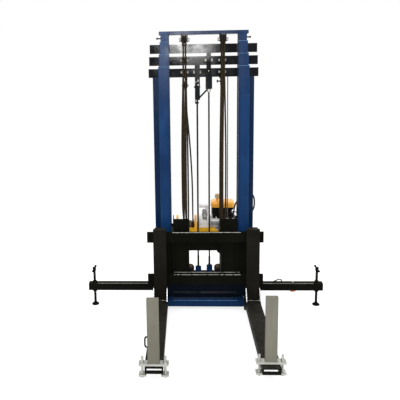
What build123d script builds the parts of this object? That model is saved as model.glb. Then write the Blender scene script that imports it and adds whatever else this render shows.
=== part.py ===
from build123d import *
import os

# Material lift: four nested mast sections, a fork carriage, outriggers and an engine winch.
# Millimetres, +Z up, forks towards -Y, origin on the floor below the middle of the whole machine.

# Overall reach either side of the front face of the fixed mast section
reach_front = 1015.0
reach_rear = 620.0
mast = (reach_front - reach_rear) / 2

# Mast sections, numbered 0 (fixed) to 3 (innermost)
mast_depth = 120.0
web_out = 330.0
tip = 250.0
wall = 5.0
step = 6.5
corner = 4.0
fixed_top = 1842.0
section_pitch = 88.0
inner_top = 2068.0

# Crossbars at the head of the sections and the beam on top of the innermost one
bar_half = 408.0
bar_h = 65.0
bar_d = 50.0
bar_wall = 4.0
bar_drop = 15.0
beam_half = 322.0
beam_h = 24.0

# Ball-ended pins near the head of the innermost section
pin_r = 4.0
pin_out = 26.0
pin_drop = 24.0
ball_r = 7.0

# Foot bars that tie the two channels of each moving section
foot_h = 22.0
foot_gap = 2.0
foot_half = 247.0
foot_end = 12.0
foot_y = {1: (80.0, 105.0), 2: (45.0, 75.0), 3: (3 * step, 3 * step + 18.5)}

# Wire ropes and their sheaves
rope_r = 6.5
groove_gap = 0.35
groove_wall = 3.0
cheek = rope_r + groove_gap + groove_wall
flange_over = 7.0
axle_r = 7.0
axle_fit = 0.05
side_gap = 1.0
plate = 6.0

# Main rope: head sheave on the fixed crossbar, two traverse sheaves at the foot of section 1
head_back = 170.0
head_r = 30.0
head_drop = 62.0
head_y = mast + head_back
fall_y = head_y - head_r
traverse_x = 110.0
traverse_r = 25.0
traverse_z = 262.0
strap_half = 11.0
fall_x = traverse_x + traverse_r
head_x = -fall_x

# Synchronising ropes of sections 2 and 3
sync1_x = -47.0
sync1_front = mast + 60.0
sync1_rear = mast + 112.0
sync1_drop = 160.0
sync2_x = 37.0
sync2_front = mast + 30.0
sync2_rear = mast + 92.0
sync2_drop = 196.0
knob_drop = 108.0
knob_r = 9.0
lug_top = 330.0
lug_half = 22.0
sync1_lug_top = 306.0

# Hanger bar in front of sheave 1 and cover around sheave 2
hanger_bar_w = 27.0
hanger_bar_shift = 6.0
hanger_bar_front = 40.0
cover_half = 23.5
cover_front = 10.0
cover_h = 102.0
cover_drop = 65.0

# Carriage ropes over the double sheaves of the top beam
lift_x = (131.0, 147.0)
lift_front = mast
lift_rear = mast + 60.0
lift_drop = 38.0
lift_anchor_z = 470.0
lift_lug_h = 12.0
bracket_fore = 14.0
bracket_aft = 32.0
axle_over = 8.0

# Fork carriage, bar faces spaced as on a class 2 carriage
carriage_h = 407.0
carriage_z = 224.0
fork_bar_h = 80.0
fork_bar_t = 20.0
fork_bar_half = 430.0
fork_bar_front = mast - 100.0
upright_in = 117.0
upright_out = 238.0
upright_back = mast + 85.0
upright_top = 712.0
upright_bottom = 268.0
carriage_plate = 6.0
carriage_skin = 8.0
skin_half = 330.0
skin_back = 44.0
ledge_half = 300.0
skin_drop = 41.0
window_drop = 165.0
upright_fore = 30.0
anchor_back = 22.0
anchor_t = 20.0
ledge_gap = 2.0
lip_up = 24.0
roller_gap = 0.4
roller_x = (258.0, 303.0)
roller_z = (312.0, 640.0)
stub_r = 12.5
hub_r = 22.0
hub_over = 6.0

# Forks: inverted channel blades with hooks on the carriage bars
fork_x = {"left": -335.0, "right": 350.0}
blade_w = 108.0
blade_bottom = 60.0
blade_h = 55.0
blade_web = 9.0
blade_side = 8.0
fork_tip = mast - 1005.0
shank_t = 34.0
shank_w = 96.0
hook_w = 76.0
hook_t = 28.0
hook_lip = 11.0
fork_fit = 0.4
lip_down = 28.0
lip_t_low = 20.0
shank_rise = 20.0
heel_in = 6.0
heel_drop = 8.0
heel_run = 60.0
tip_run = 40.0
tip_drop = 12.0
strap_d = 30.0
strap_t = 6.0

# Stop posts clamped near the fork tips
post_w = 70.0
post_d = 30.0
post_wall = 4.0
post_h = 395.0
clamp_w = 176.0
clamp_d = 45.0
clamp_t = 12.0
stud_r = 7.0
stud_x = 68.0
stud_up = 38.0
strip_in = 44.0
clamp_front = {"left": mast - reach_front, "right": mast - reach_front + 30.0}
post_inset = 8.0

# Base ladder frame
rail_in = 245.0
rail_out = 285.0
rail_bottom = 28.0
rail_top = 80.0
front_beam = 50.0
rear_bar_h = 18.0
ladder_y = ((70.0, mast_depth), (200.0, 240.0), (400.0, 440.0))

# Outriggers in the cross sleeve
arm_h = 56.0
arm_d = 50.0
arm_wall = 5.0
arm_bottom = 125.0
arm_front = mast + 20.0
arm_inner = 285.0
arm_tip = 905.5
sleeve_gap = 2.0
sleeve_wall = 5.0
sleeve_half = 392.0
loop_x = 524.0
loop_w = 68.0
stop_x = 678.0

# Screw jacks at the outrigger ends
jack_x = 861.0
jack_r = 10.0
jack_fit = 0.3
jack_top = 280.0
handle_half = 55.0
handle_ball = 9.0
foot_r = 28.0
foot_t = 14.0
collar_r = 22.0
collar_h = 16.0

# Rear posts beside the fixed section
post_in = 318.0
post_out = 378.0
rear_post_d = 50.0
rear_post_wall = 4.0

# Wheels and casters
wheel_r = 50.0
wheel_w = 40.0
wheel_y = mast - 45.0
wheel_x = 316.0
wheel_axle = 8.0
caster_y = mast + 545.0
caster_trail = 20.0
caster_r = 40.0
caster_w = 30.0
caster_x = rail_out + caster_trail + caster_r + 7.0
caster_plate_z = 112.0
caster_gap = 0.3

# Engine platform; depths here and below are measured back from the mast face
platform_top = 490.0
platform_near = 240.0
platform_far = 600.0
platform_leg = 40.0
platform_rail = 30.0
platform_sheet = 5.0

# Winch bed, bearing uprights and drum
bed_t = 10.0
bed_left = -235.0
bed_right = 128.0
bed_near = 330.0
bed_far = 560.0
lip_left = -116.0
lip_right = 123.0
lip_slope = 23.0
lip_t = 8.0
lip_h = 45.0
bearing_t = 18.0
bearing_gap = 2.0
bearing_foot = 75.0
bearing_head = 30.0
bearing_over = 76.0
drum_left = -200.0
drum_right = -72.0
drum_back = 385.0
drum_rise = 45.0
drum_flange = 42.0
drum_flange_t = 4.0
drum_coil = 32.0
drum_shaft = 14.0
shaft_fit = 0.1

# Reduction gearbox and the bell that joins it to the engine
gearbox_left = -33.0
gearbox_right = 58.0
gearbox_near = 352.0
gearbox_far = 488.0
gearbox_h = 118.0
gearbox_round = 14.0
bell_r = 68.0
bell_back = 430.0
bell_rise = 112.0
bell_lip = 14.0
filler_r = 16.0
filler_len = 66.0
filler_rise = 202.0

# Engine: crankcase, finned cylinder, cooling shroud, tank and silencer
engine_left = 66.0
engine_right = 212.0
engine_back = 455.0
engine_half = 80.0
engine_h = 92.0
crankcase_round = 10.0
cylinder_w = 54.0
cylinder_front = 115.0
fin_over = 8.0
fin_t = 5.0
fin_pitch = 11.5
fin_count = 7
fin_base = 16.0
shroud_r = 64.0
shroud_t = 50.0
shroud_rise = 66.0
cowl_half = 55.0
cleaner_x = (196.0, 272.0)
cleaner_y = (128.0, 80.0)
cleaner_rise = (50.0, 96.0)
tank_left = 71.0
tank_right = 263.0
tank_near = 385.0
tank_far = 515.0
tank_rise = 188.0
tank_h = 48.0
tank_round = 26.0
tank_crown = 22.0
seam_over = 4.0
cap_x = 122.0
cap_in = 45.0
cap_r = 21.0
cap_h = 40.0
neck_r = 12.0
neck_h = 22.0
silencer_w = 130.0
silencer_d = 60.0
silencer_h = 80.0
silencer_rise = 70.0
silencer_gap = 2.0
silencer_round = 6.0
outlet_r = 14.0
outlet_len = 26.0
grip_gap = 0.3
grip_rise = 88.0
lever_rise = 72.0
cable_rise = 156.0
lever_h = 46.0
sheath_r = 4.5
limit_r = 4.0


def fin_z(i):
    return bed_top + fin_base + fin_pitch * i


def slab(x0, x1, y0, y1, z0, z1, mode=Mode.ADD):
    """Rectangular block between two opposite corners."""
    with Locations(((x0 + x1) / 2, (y0 + y1) / 2, (z0 + z1) / 2)):
        Box(abs(x1 - x0), abs(y1 - y0), abs(z1 - z0), mode=mode)


def rod_x(x0, x1, y, z, radius, mode=Mode.ADD):
    """Round bar along X."""
    with Locations(Location(((x0 + x1) / 2, y, z), (0, 90, 0))):
        Cylinder(radius, abs(x1 - x0), mode=mode)


def rod_y(x, y0, y1, z, radius, mode=Mode.ADD):
    """Round bar along Y."""
    with Locations(Location((x, (y0 + y1) / 2, z), (90, 0, 0))):
        Cylinder(radius, abs(y1 - y0), mode=mode)


def rod_z(x, y, z0, z1, radius, mode=Mode.ADD):
    """Round bar along Z."""
    with Locations((x, y, (z0 + z1) / 2)):
        Cylinder(radius, z1 - z0, mode=mode)


def hexagon_z(x, y, z0, z1, across):
    """Hexagon nut or bolt head with an upright axis."""
    with BuildSketch(Plane((x, y, z0))) as profile:
        RegularPolygon(across / 2, 6, major_radius=False)
    extrude(profile.sketch, amount=z1 - z0)


def front_of(k):
    return mast + k * step


def back_of(k):
    return mast + mast_depth - k * step


def web_of(k):
    return web_out - k * step


def top_of(k):
    if k == 3:
        return inner_top
    return fixed_top + k * section_pitch


def bar_bottom(k):
    return top_of(k) - bar_drop - bar_h


def foot_bottom(k):
    return section_bottom + (k - 1) * (foot_h + foot_gap)


def channel(k, side, z0, z1):
    """One channel of section k, open towards the middle of the mast."""
    front = front_of(k)
    back = back_of(k)
    web = web_of(k)
    with BuildSketch(Plane.XY.offset(z0)) as profile:
        with BuildLine():
            Polyline(
                (side * tip, front),
                (side * web, front),
                (side * web, back),
                (side * tip, back),
                (side * tip, back - wall),
                (side * (web - wall), back - wall),
                (side * (web - wall), front + wall),
                (side * tip, front + wall),
                close=True,
            )
        make_face()
        outer = [v for v in profile.vertices() if abs(abs(v.X) - web) < 0.01]
        fillet(outer, corner)
    extrude(profile.sketch, amount=z1 - z0)


def foot_bar(k):
    """Tie bar at the foot of section k, with end pieces that meet the lips of its channels."""
    z0 = foot_bottom(k)
    z1 = z0 + foot_h
    slab(-foot_half, foot_half, mast + foot_y[k][0], mast + foot_y[k][1], z0, z1)
    for name, s in sides:
        slab(s * (foot_half - foot_end), s * foot_half, front_of(k), back_of(k), z0, z1)
        for y0 in (front_of(k), back_of(k) - wall):
            slab(s * foot_half, s * tip, y0, y0 + wall, z0, z1)


def tube_x(x0, x1, y0, y1, z0, z1, thickness):
    """Rectangular tube along X, open at both ends."""
    slab(x0, x1, y0, y1, z0, z1)
    slab(x0 - 1, x1 + 1, y0 + thickness, y1 - thickness, z0 + thickness, z1 - thickness, Mode.SUBTRACT)


def grooved_x(x, width, y, z, rope_line, grooves):
    """Sheave on an X axis with one groove for each rope at the given offsets."""
    rim = rope_line + flange_over
    floor = rope_line - rope_r - groove_gap
    rod_x(x - width / 2, x + width / 2, y, z, rim)
    half = rope_r + groove_gap
    for offset_x in grooves:
        with BuildSketch(Plane.YZ.offset(x + offset_x - half)) as ring:
            with Locations((y, z)):
                Circle(rim + 1)
                Circle(floor, mode=Mode.SUBTRACT)
        extrude(ring.sketch, amount=2 * half, mode=Mode.SUBTRACT)
    rod_x(x - width, x + width, y, z, axle_r + axle_fit, Mode.SUBTRACT)


def oval_window(x, z, width, height, y0, y1):
    """Upright oval slot through a plate that faces the forks."""
    with BuildSketch(Plane.XZ.offset(-y1)) as slot:
        with Locations((x, z)):
            SlotOverall(height, width, rotation=90)
    extrude(slot.sketch, amount=y1 - y0, mode=Mode.SUBTRACT)


os.makedirs("parts", exist_ok=True)
sides = (("left", -1), ("right", 1))
arm_back = arm_front + arm_d
arm_top = arm_bottom + arm_h
sleeve_bottom = arm_bottom - sleeve_wall
sleeve_top = arm_top + sleeve_gap + sleeve_wall
sleeve_front = arm_front - sleeve_gap - sleeve_wall
sleeve_back = arm_back + sleeve_gap + sleeve_wall
section_bottom = sleeve_top
rail_rear = mast + reach_rear
bar_back = back_of(0) + bar_d
mast_mid = mast + mast_depth / 2
head_z = bar_bottom(0) - head_drop
sync1_z = bar_bottom(1) - sync1_drop
sync2_z = bar_bottom(2) - sync2_drop
knob_x = sync1_x
knob_z = sync1_z - knob_drop
lift_z = inner_top - lift_drop
bed_top = platform_top + bed_t
drum_y = mast + drum_back
drum_z = bed_top + drum_rise
engine_mid = mast + engine_back

# Base ladder frame with cross sleeve, platform legs and caster brackets
frame_top = platform_top - platform_sheet
frame_bottom = frame_top - platform_rail
with BuildPart() as base_frame:
    for name, s in sides:
        slab(s * rail_in, s * rail_out, mast - 55, rail_rear, rail_bottom, rail_top)
        slab(s * rail_in, s * rail_out, sleeve_front, sleeve_back, rail_top, sleeve_bottom)
        for y0 in (platform_near, platform_far - platform_leg):
            slab(s * rail_in, s * rail_out, mast + y0, mast + y0 + platform_leg, rail_top, frame_bottom)
        slab(s * rail_in, s * rail_out, mast + platform_near, mast + platform_far, frame_bottom, frame_top)
        slab(s * rail_out, s * (caster_x + 50), caster_y - 45, caster_y + 50,
             caster_plate_z, caster_plate_z + 8)
        with BuildSketch(Plane.XZ.offset(-(mast + platform_far - platform_leg / 2))):
            with BuildLine():
                Polyline((s * rail_out, caster_plate_z + 8), (s * (caster_x + 40), caster_plate_z + 8),
                         (s * rail_out, caster_plate_z + 90), close=True)
            make_face()
        extrude(amount=8)
        rod_x(s * rail_out, s * (wheel_x + wheel_w / 2 + 6), wheel_y, wheel_r, wheel_axle)
    slab(-rail_in, rail_in, mast - 55, mast - 55 + front_beam, rail_bottom, rail_top)
    slab(-rail_in, rail_in, rail_rear - 40, rail_rear, rail_bottom, rail_bottom + rear_bar_h)
    for y0, y1 in ladder_y:
        slab(-rail_in, rail_in, mast + y0, mast + y1, rail_bottom, rail_top)
    slab(-post_out, post_out, back_of(0), back_of(0) + rear_post_d, rail_bottom, rail_top)
    for y0 in (platform_near, platform_far - platform_leg):
        slab(-rail_in, rail_in, mast + y0, mast + y0 + platform_leg, frame_bottom, frame_top)
    slab(-rail_out, rail_out, mast + platform_near, mast + platform_far, frame_top, platform_top)
    tube_x(-sleeve_half, sleeve_half, sleeve_front, sleeve_back, sleeve_bottom, sleeve_top, sleeve_wall)
base_frame.part.label = "base_frame"
export_step(base_frame.part, "parts/base_frame.step")

# Fixed section: one channel each side with the rear post behind it
for name, s in sides:
    with BuildPart() as fixed_column:
        channel(0, s, sleeve_top, fixed_top)
        slab(s * post_in, s * post_out, back_of(0), back_of(0) + rear_post_d, rail_top, bar_bottom(0))
        slab(s * (post_in + rear_post_wall), s * (post_out - rear_post_wall),
             back_of(0) + rear_post_wall, back_of(0) + rear_post_d - rear_post_wall,
             rail_top - 1, bar_bottom(0) - 10, Mode.SUBTRACT)
        with BuildSketch(Plane.XZ.offset(-(back_of(0) + 30))):
            with BuildLine():
                Polyline((s * post_out, 450), (s * (post_out + 22), 350),
                         (s * (post_out + 22), 290), (s * post_out, 290), close=True)
            make_face()
        extrude(amount=10)
    fixed_column.part.label = f"fixed_column_{name}"
    export_step(fixed_column.part, f"parts/fixed_column_{name}.step")

# Fixed crossbar with the head sheave bracket and the dead end of the main rope
with BuildPart() as fixed_crossbar:
    tube_x(-bar_half, bar_half, back_of(0), bar_back, bar_bottom(0), bar_bottom(0) + bar_h, bar_wall)
    for s in (-1, 1):
        x0 = head_x + s * (cheek + side_gap)
        slab(x0, x0 + s * plate, head_y - 28, head_y + 28, head_z - 18, bar_bottom(0))
    rod_x(head_x - cheek - side_gap - plate - 5, head_x + cheek + side_gap + plate + 5,
          head_y, head_z, axle_r)
    slab(head_x - cheek - side_gap - plate, head_x + cheek + side_gap + plate,
         bar_back - 40, head_y + 28, bar_bottom(0) - 8, bar_bottom(0))
    slab(fall_x - 16, fall_x + 16, fall_y - 16, fall_y + 16, bar_bottom(0) - 10, bar_bottom(0))
    rod_z(fall_x, fall_y, head_z, bar_bottom(0) - 10, 9)
    rod_x(fall_x - 30, fall_x + 14, fall_y, bar_bottom(0) - 32, 5)
    rod_z(fall_x - 30, fall_y, bar_bottom(0) - 43, bar_bottom(0) - 21, 4.5)
fixed_crossbar.part.label = "fixed_crossbar"
export_step(fixed_crossbar.part, "parts/fixed_crossbar.step")

with BuildPart() as head_sheave:
    grooved_x(head_x, 2 * cheek, head_y, head_z, head_r, (0.0,))
head_sheave.part.label = "head_sheave"
export_step(head_sheave.part, "parts/head_sheave.step")

# Moving sections: two channels tied by a foot bar, each foot bar one layer above the last
for k in (1, 2, 3):
    z0 = foot_bottom(k)
    z1 = z0 + foot_h
    with BuildPart() as columns:
        for name, s in sides:
            channel(k, s, section_bottom, top_of(k))
        if k != 2:
            foot_bar(k)
        if k == 1:
            y_in = fall_y - cheek - side_gap
            y_out = fall_y + cheek + side_gap
            for name, s in sides:
                slab(s * (traverse_x - 28), s * (traverse_x + 32), mast + foot_y[1][1], y_out + plate, z0, z1)
                for y0 in (y_in - plate, y_out):
                    slab(s * (traverse_x - strap_half), s * (traverse_x + strap_half), y0, y0 + plate,
                         z0, traverse_z + strap_half)
                rod_y(s * traverse_x, y_in - plate - 4, y_out + plate + 4, traverse_z, axle_r)
        if k == 3:
            slab(sync2_x - lug_half, sync2_x + lug_half, mast + foot_y[3][0], mast + foot_y[3][1],
                 z1, lug_top)
            for name, s in sides:
                rod_x(s * (web_of(3) - wall / 2), s * (web_of(3) + pin_out), mast_mid,
                      inner_top - pin_drop, pin_r)
                with Locations((s * (web_of(3) + pin_out), mast_mid, inner_top - pin_drop)):
                    Sphere(ball_r)
    columns.part.label = f"section_{k}_columns"
    export_step(columns.part, f"parts/section_{k}_columns.step")

# Foot bar of section 2, with the rope lugs that stand on it
with BuildPart() as section_2_foot:
    foot_bar(2)
    z1 = foot_bottom(2) + foot_h
    slab(sync1_x - lug_half, sync1_x + lug_half, mast + foot_y[2][0], mast + foot_y[2][1], z1, sync1_lug_top)
    for name, s in sides:
        slab(s * (lift_x[0] - 10), s * (lift_x[1] + 10), mast + foot_y[2][0] + 5, mast + foot_y[2][1] - 5,
             z1, z1 + lift_lug_h)
section_2_foot.part.label = "section_2_foot"
export_step(section_2_foot.part, "parts/section_2_foot.step")

# Crossbars of sections 1 and 2 with the hanging sheave boxes of the synchronising ropes
hangers = {
    1: (sync1_x, sync1_front, sync1_rear, sync1_z),
    2: (sync2_x, sync2_front, sync2_rear, sync2_z),
}
for k in (1, 2):
    hx, hy0, hy1, hz = hangers[k]
    hy = (hy0 + hy1) / 2
    under = bar_bottom(k)
    with BuildPart() as crossbar:
        half = bar_half - k * step
        tube_x(-half, half, back_of(k), back_of(k) + bar_d, under, under + bar_h, bar_wall)
        reach = cheek + side_gap + plate
        slab(hx - reach, hx + reach, hy - 20, back_of(k) + bar_d - 5, under - 12, under)
        for s in (-1, 1):
            x0 = hx + s * (cheek + side_gap)
            slab(x0, x0 + s * plate, hy - 20, hy + 20, hz - 22, under - 12)
        slab(hx - reach, hx + reach, hy - 26, hy - 20, hz + 42, under)
        rod_x(hx - reach - 6, hx + reach + 6, hy, hz, axle_r)
        if k == 1:
            bar_x = hx + hanger_bar_shift
            bar_y = mast + hanger_bar_front
            slab(bar_x - hanger_bar_w / 2, bar_x + hanger_bar_w / 2, bar_y, bar_y + plate, knob_z + 14, under)
            slab(hx - reach, hx + reach, bar_y, hy - 20, under - 12, under)
            for dz in (16, 50):
                oval_window(bar_x, hz + dz, 11, 22, bar_y - 5, bar_y + plate + 2)
            slab(hx - reach, hx - reach + plate, sync2_rear - 9, sync2_rear + 9, knob_z - 16, hz)
            rod_x(hx - reach + plate, knob_x + knob_r + 4, sync2_rear, knob_z - 8, 5)
            rod_z(knob_x, sync2_rear, knob_z - 18, knob_z, knob_r)
        else:
            cover_z = hz - cover_drop
            cover_y = mast + cover_front
            slab(hx - cover_half, hx + cover_half, cover_y, cover_y + plate, cover_z, cover_z + cover_h)
            for s in (-1, 1):
                slab(hx + s * reach, hx + s * cover_half, cover_y, hy + 20, cover_z, cover_z + cover_h)
            for dx in (-7, 7):
                oval_window(hx + dx, hz + 64, 8, 26, hy - 30, hy - 15)
    crossbar.part.label = f"section_{k}_crossbar"
    export_step(crossbar.part, f"parts/section_{k}_crossbar.step")

    with BuildPart() as sync_sheave:
        grooved_x(hx, 2 * cheek, hy, hz, (hy1 - hy0) / 2, (0.0,))
    sync_sheave.part.label = f"sync_sheave_{k}"
    export_step(sync_sheave.part, f"parts/sync_sheave_{k}.step")

# Traverse sheaves at the foot of section 1 and the rope that runs below them
for name, s in sides:
    with BuildPart() as traverse_sheave:
        rim = traverse_r + flange_over
        floor = traverse_r - rope_r - groove_gap
        rod_y(s * traverse_x, fall_y - cheek, fall_y + cheek, traverse_z, rim)
        with BuildSketch(Plane.XZ.offset(-(fall_y + rope_r + groove_gap))):
            with Locations((s * traverse_x, traverse_z)):
                Circle(rim + 1)
                Circle(floor, mode=Mode.SUBTRACT)
        extrude(amount=2 * (rope_r + groove_gap), mode=Mode.SUBTRACT)
        rod_y(s * traverse_x, fall_y - 20, fall_y + 20, traverse_z, axle_r + axle_fit, Mode.SUBTRACT)
    traverse_sheave.part.label = f"traverse_sheave_{name}"
    export_step(traverse_sheave.part, f"parts/traverse_sheave_{name}.step")

with BuildPart() as traverse_rope:
    with BuildLine(Plane.XZ.offset(-fall_y)) as run:
        lowest = traverse_z - traverse_r
        RadiusArc((-fall_x, traverse_z), (-traverse_x, lowest), -traverse_r)
        Line((-traverse_x, lowest), (traverse_x, lowest))
        RadiusArc((traverse_x, lowest), (fall_x, traverse_z), -traverse_r)
    with BuildSketch(Plane((-fall_x, fall_y, traverse_z), z_dir=(0, 0, -1))):
        Circle(rope_r)
    sweep(path=run.wires()[0])
traverse_rope.part.label = "traverse_rope"
export_step(traverse_rope.part, "parts/traverse_rope.step")

# Beam on top of the innermost section, with the double sheaves of the carriage ropes
with BuildPart() as top_beam:
    slab(-beam_half, beam_half, front_of(3), back_of(3), inner_top, inner_top + beam_h)
    fillet(top_beam.edges().filter_by(Axis.X), 3)
top_beam.part.label = "top_beam"
export_step(top_beam.part, "parts/top_beam.step")

lift_mid = (lift_x[0] + lift_x[1]) / 2
lift_half = (lift_x[1] - lift_x[0]) / 2 + cheek
lift_axle_y = (lift_front + lift_rear) / 2
with BuildPart() as top_brackets:
    for name, s in sides:
        for e in (-1, 1):
            x0 = s * lift_mid + e * (lift_half + side_gap)
            slab(x0, x0 + e * plate, lift_axle_y - bracket_fore, lift_axle_y + bracket_aft,
                 lift_z - bracket_fore, inner_top)
        axle_half = lift_half + side_gap + plate + axle_over
        rod_x(s * lift_mid - axle_half, s * lift_mid + axle_half, lift_axle_y, lift_z, axle_r)
top_brackets.part.label = "top_brackets"
export_step(top_brackets.part, "parts/top_brackets.step")

with BuildPart() as top_sheaves:
    for name, s in sides:
        spread = (lift_x[1] - lift_x[0]) / 2
        grooved_x(s * lift_mid, 2 * lift_half, lift_axle_y, lift_z, (lift_rear - lift_front) / 2,
                  (-spread, spread))
top_sheaves.part.label = "top_sheaves"
export_step(top_sheaves.part, "parts/top_sheaves.step")

# Fork carriage: two open-backed uprights, cross plates, roller stubs and rope lugs
fork_bar_back = fork_bar_front + fork_bar_t
carriage_top = carriage_z + carriage_h
skin_top = carriage_top - skin_drop
upright_front = mast - upright_fore
upright_skin = upright_front + carriage_skin
ledge_bottom = carriage_z + lip_up + ledge_gap
with BuildPart() as carriage_frame:
    for name, s in sides:
        for x0 in (upright_in, upright_out - carriage_plate):
            x1 = x0 + carriage_plate
            slab(s * x0, s * x1, fork_bar_back, upright_back, upright_bottom, skin_top)
            slab(s * x0, s * x1, upright_front, upright_back, skin_top, upright_top)
        slab(s * upright_in, s * upright_out, upright_front, upright_skin, upright_bottom, upright_top)
        slab(s * upright_in, s * skin_half, mast - skin_back - carriage_skin, mast - skin_back,
             ledge_bottom, skin_top)
        slab(s * upright_in, s * upright_out, upright_skin, mast + anchor_back,
             lift_anchor_z - anchor_t, lift_anchor_z)
        for z in roller_z:
            rod_x(s * (upright_out - carriage_plate), s * (roller_x[1] + 1), mast_mid, z, stub_r)
    slab(-upright_in, upright_in, upright_front, upright_skin, carriage_top - window_drop, skin_top)
    slab(-ledge_half, ledge_half, fork_bar_back, mast - skin_back, ledge_bottom, carriage_z + fork_bar_h)
carriage_frame.part.label = "carriage_frame"
export_step(carriage_frame.part, "parts/carriage_frame.step")

with BuildPart() as fork_bars:
    for z0 in (carriage_z, carriage_top - fork_bar_h):
        slab(-fork_bar_half, fork_bar_half, fork_bar_front, fork_bar_back, z0, z0 + fork_bar_h)
    fillet(fork_bars.edges().filter_by(Axis.X), 2)
fork_bars.part.label = "fork_bars"
export_step(fork_bars.part, "parts/fork_bars.step")

roller_r = (mast_depth - 6 * step - 2 * wall) / 2 - roller_gap
for label, z in zip(("rollers_lower", "rollers_upper"), roller_z):
    with BuildPart() as rollers:
        for name, s in sides:
            rod_x(s * roller_x[0], s * roller_x[1], mast_mid, z, roller_r)
            rod_x(s * (roller_x[0] - hub_over), s * roller_x[0], mast_mid, z, hub_r)
            rod_x(s * (roller_x[0] - 2 * hub_over), s * (roller_x[1] + hub_over), mast_mid, z,
                  stub_r + axle_fit, Mode.SUBTRACT)
        chamfer(rollers.edges().filter_by(GeomType.CIRCLE).filter_by(
            lambda e: abs(e.radius - roller_r) < 0.01), 2)
    rollers.part.label = label
    export_step(rollers.part, f"parts/{label}.step")

# Forks: shank with hooks, cheek plates at the heel, inverted channel blade with a tip strap
shank_back = fork_bar_front - fork_fit
shank_front = shank_back - shank_t
blade_top = blade_bottom + blade_h
for name in ("left", "right"):
    x = fork_x[name]
    with BuildPart() as fork:
        slab(x - shank_w / 2, x + shank_w / 2, shank_front, shank_back, blade_bottom + shank_rise,
             carriage_top + fork_fit + hook_t)
        slab(x - hook_w / 2, x + hook_w / 2, shank_back, fork_bar_back + fork_fit + hook_lip,
             carriage_top + fork_fit, carriage_top + fork_fit + hook_t)
        slab(x - hook_w / 2, x + hook_w / 2, fork_bar_back + fork_fit, fork_bar_back + fork_fit + hook_lip,
             carriage_top - lip_down, carriage_top + fork_fit)
        slab(x - hook_w / 2, x + hook_w / 2, shank_back, fork_bar_back + fork_fit + hook_lip,
             carriage_z - fork_fit - lip_t_low, carriage_z - fork_fit)
        slab(x - hook_w / 2, x + hook_w / 2, fork_bar_back + fork_fit, fork_bar_back + fork_fit + hook_lip,
             carriage_z - fork_fit, carriage_z + lip_up)
        for s in (-1, 1):
            edge = x + s * blade_w / 2
            with BuildSketch(Plane.YZ.offset(min(edge, edge - s * blade_side))):
                with BuildLine():
                    Polyline((shank_back, blade_bottom), (shank_back, carriage_z - heel_drop),
                             (shank_front - heel_in, carriage_z - heel_drop),
                             (shank_front - heel_run, blade_top),
                             (fork_tip + tip_run, blade_top), (fork_tip, blade_top - tip_drop),
                             (fork_tip, blade_bottom), close=True)
                make_face()
            extrude(amount=blade_side)
        slab(x - blade_w / 2, x + blade_w / 2, fork_tip + tip_run, shank_back,
             blade_top - blade_web, blade_top)
        with BuildSketch(Plane.YZ.offset(x - blade_w / 2)):
            with BuildLine():
                Polyline((fork_tip + tip_run, blade_top), (fork_tip, blade_top - tip_drop),
                         (fork_tip, blade_top - tip_drop - blade_web),
                         (fork_tip + tip_run, blade_top - blade_web),
                         close=True)
            make_face()
        extrude(amount=blade_w)
        slab(x - blade_w / 2, x + blade_w / 2, fork_tip, fork_tip + strap_d,
             blade_bottom, blade_bottom + strap_t)
    fork.part.label = f"fork_{name}"
    export_step(fork.part, f"parts/fork_{name}.step")

# Stop posts and their clamps: a plate on the blade and two strips below it, held by two studs
clamp_gap = 0.3
for name in ("left", "right"):
    x = fork_x[name]
    y0 = clamp_front[name]
    y_mid = y0 + clamp_d / 2
    lower = blade_bottom - clamp_gap - clamp_t
    upper = blade_top + clamp_gap
    with BuildPart() as clamp:
        slab(x - clamp_w / 2, x + clamp_w / 2, y0, y0 + clamp_d, upper, upper + clamp_t)
        for sx in (-1, 1):
            slab(x + sx * strip_in, x + sx * clamp_w / 2, y0, y0 + clamp_d, lower, lower + clamp_t)
            px = x + sx * stud_x
            rod_z(px, y_mid, lower - 14, upper + clamp_t + stud_up, stud_r)
            hexagon_z(px, y_mid, lower - 11, lower, 22)
            hexagon_z(px, y_mid, upper + clamp_t, upper + clamp_t + 12, 22)
    clamp.part.label = f"clamp_{name}"
    export_step(clamp.part, f"parts/clamp_{name}.step")

    with BuildPart() as stop_post:
        post_mid = y0 + post_inset + post_d / 2
        base = upper + clamp_t
        with BuildSketch(Plane((x, post_mid, base))):
            RectangleRounded(post_w, post_d, 4)
            RectangleRounded(post_w - 2 * post_wall, post_d - 2 * post_wall, 2, mode=Mode.SUBTRACT)
        extrude(amount=post_h)
        with BuildSketch(Plane((x, post_mid, base + post_h - post_wall))):
            RectangleRounded(post_w, post_d, 4)
        extrude(amount=post_wall)
    stop_post.part.label = f"stop_post_{name}"
    export_step(stop_post.part, f"parts/stop_post_{name}.step")

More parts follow.
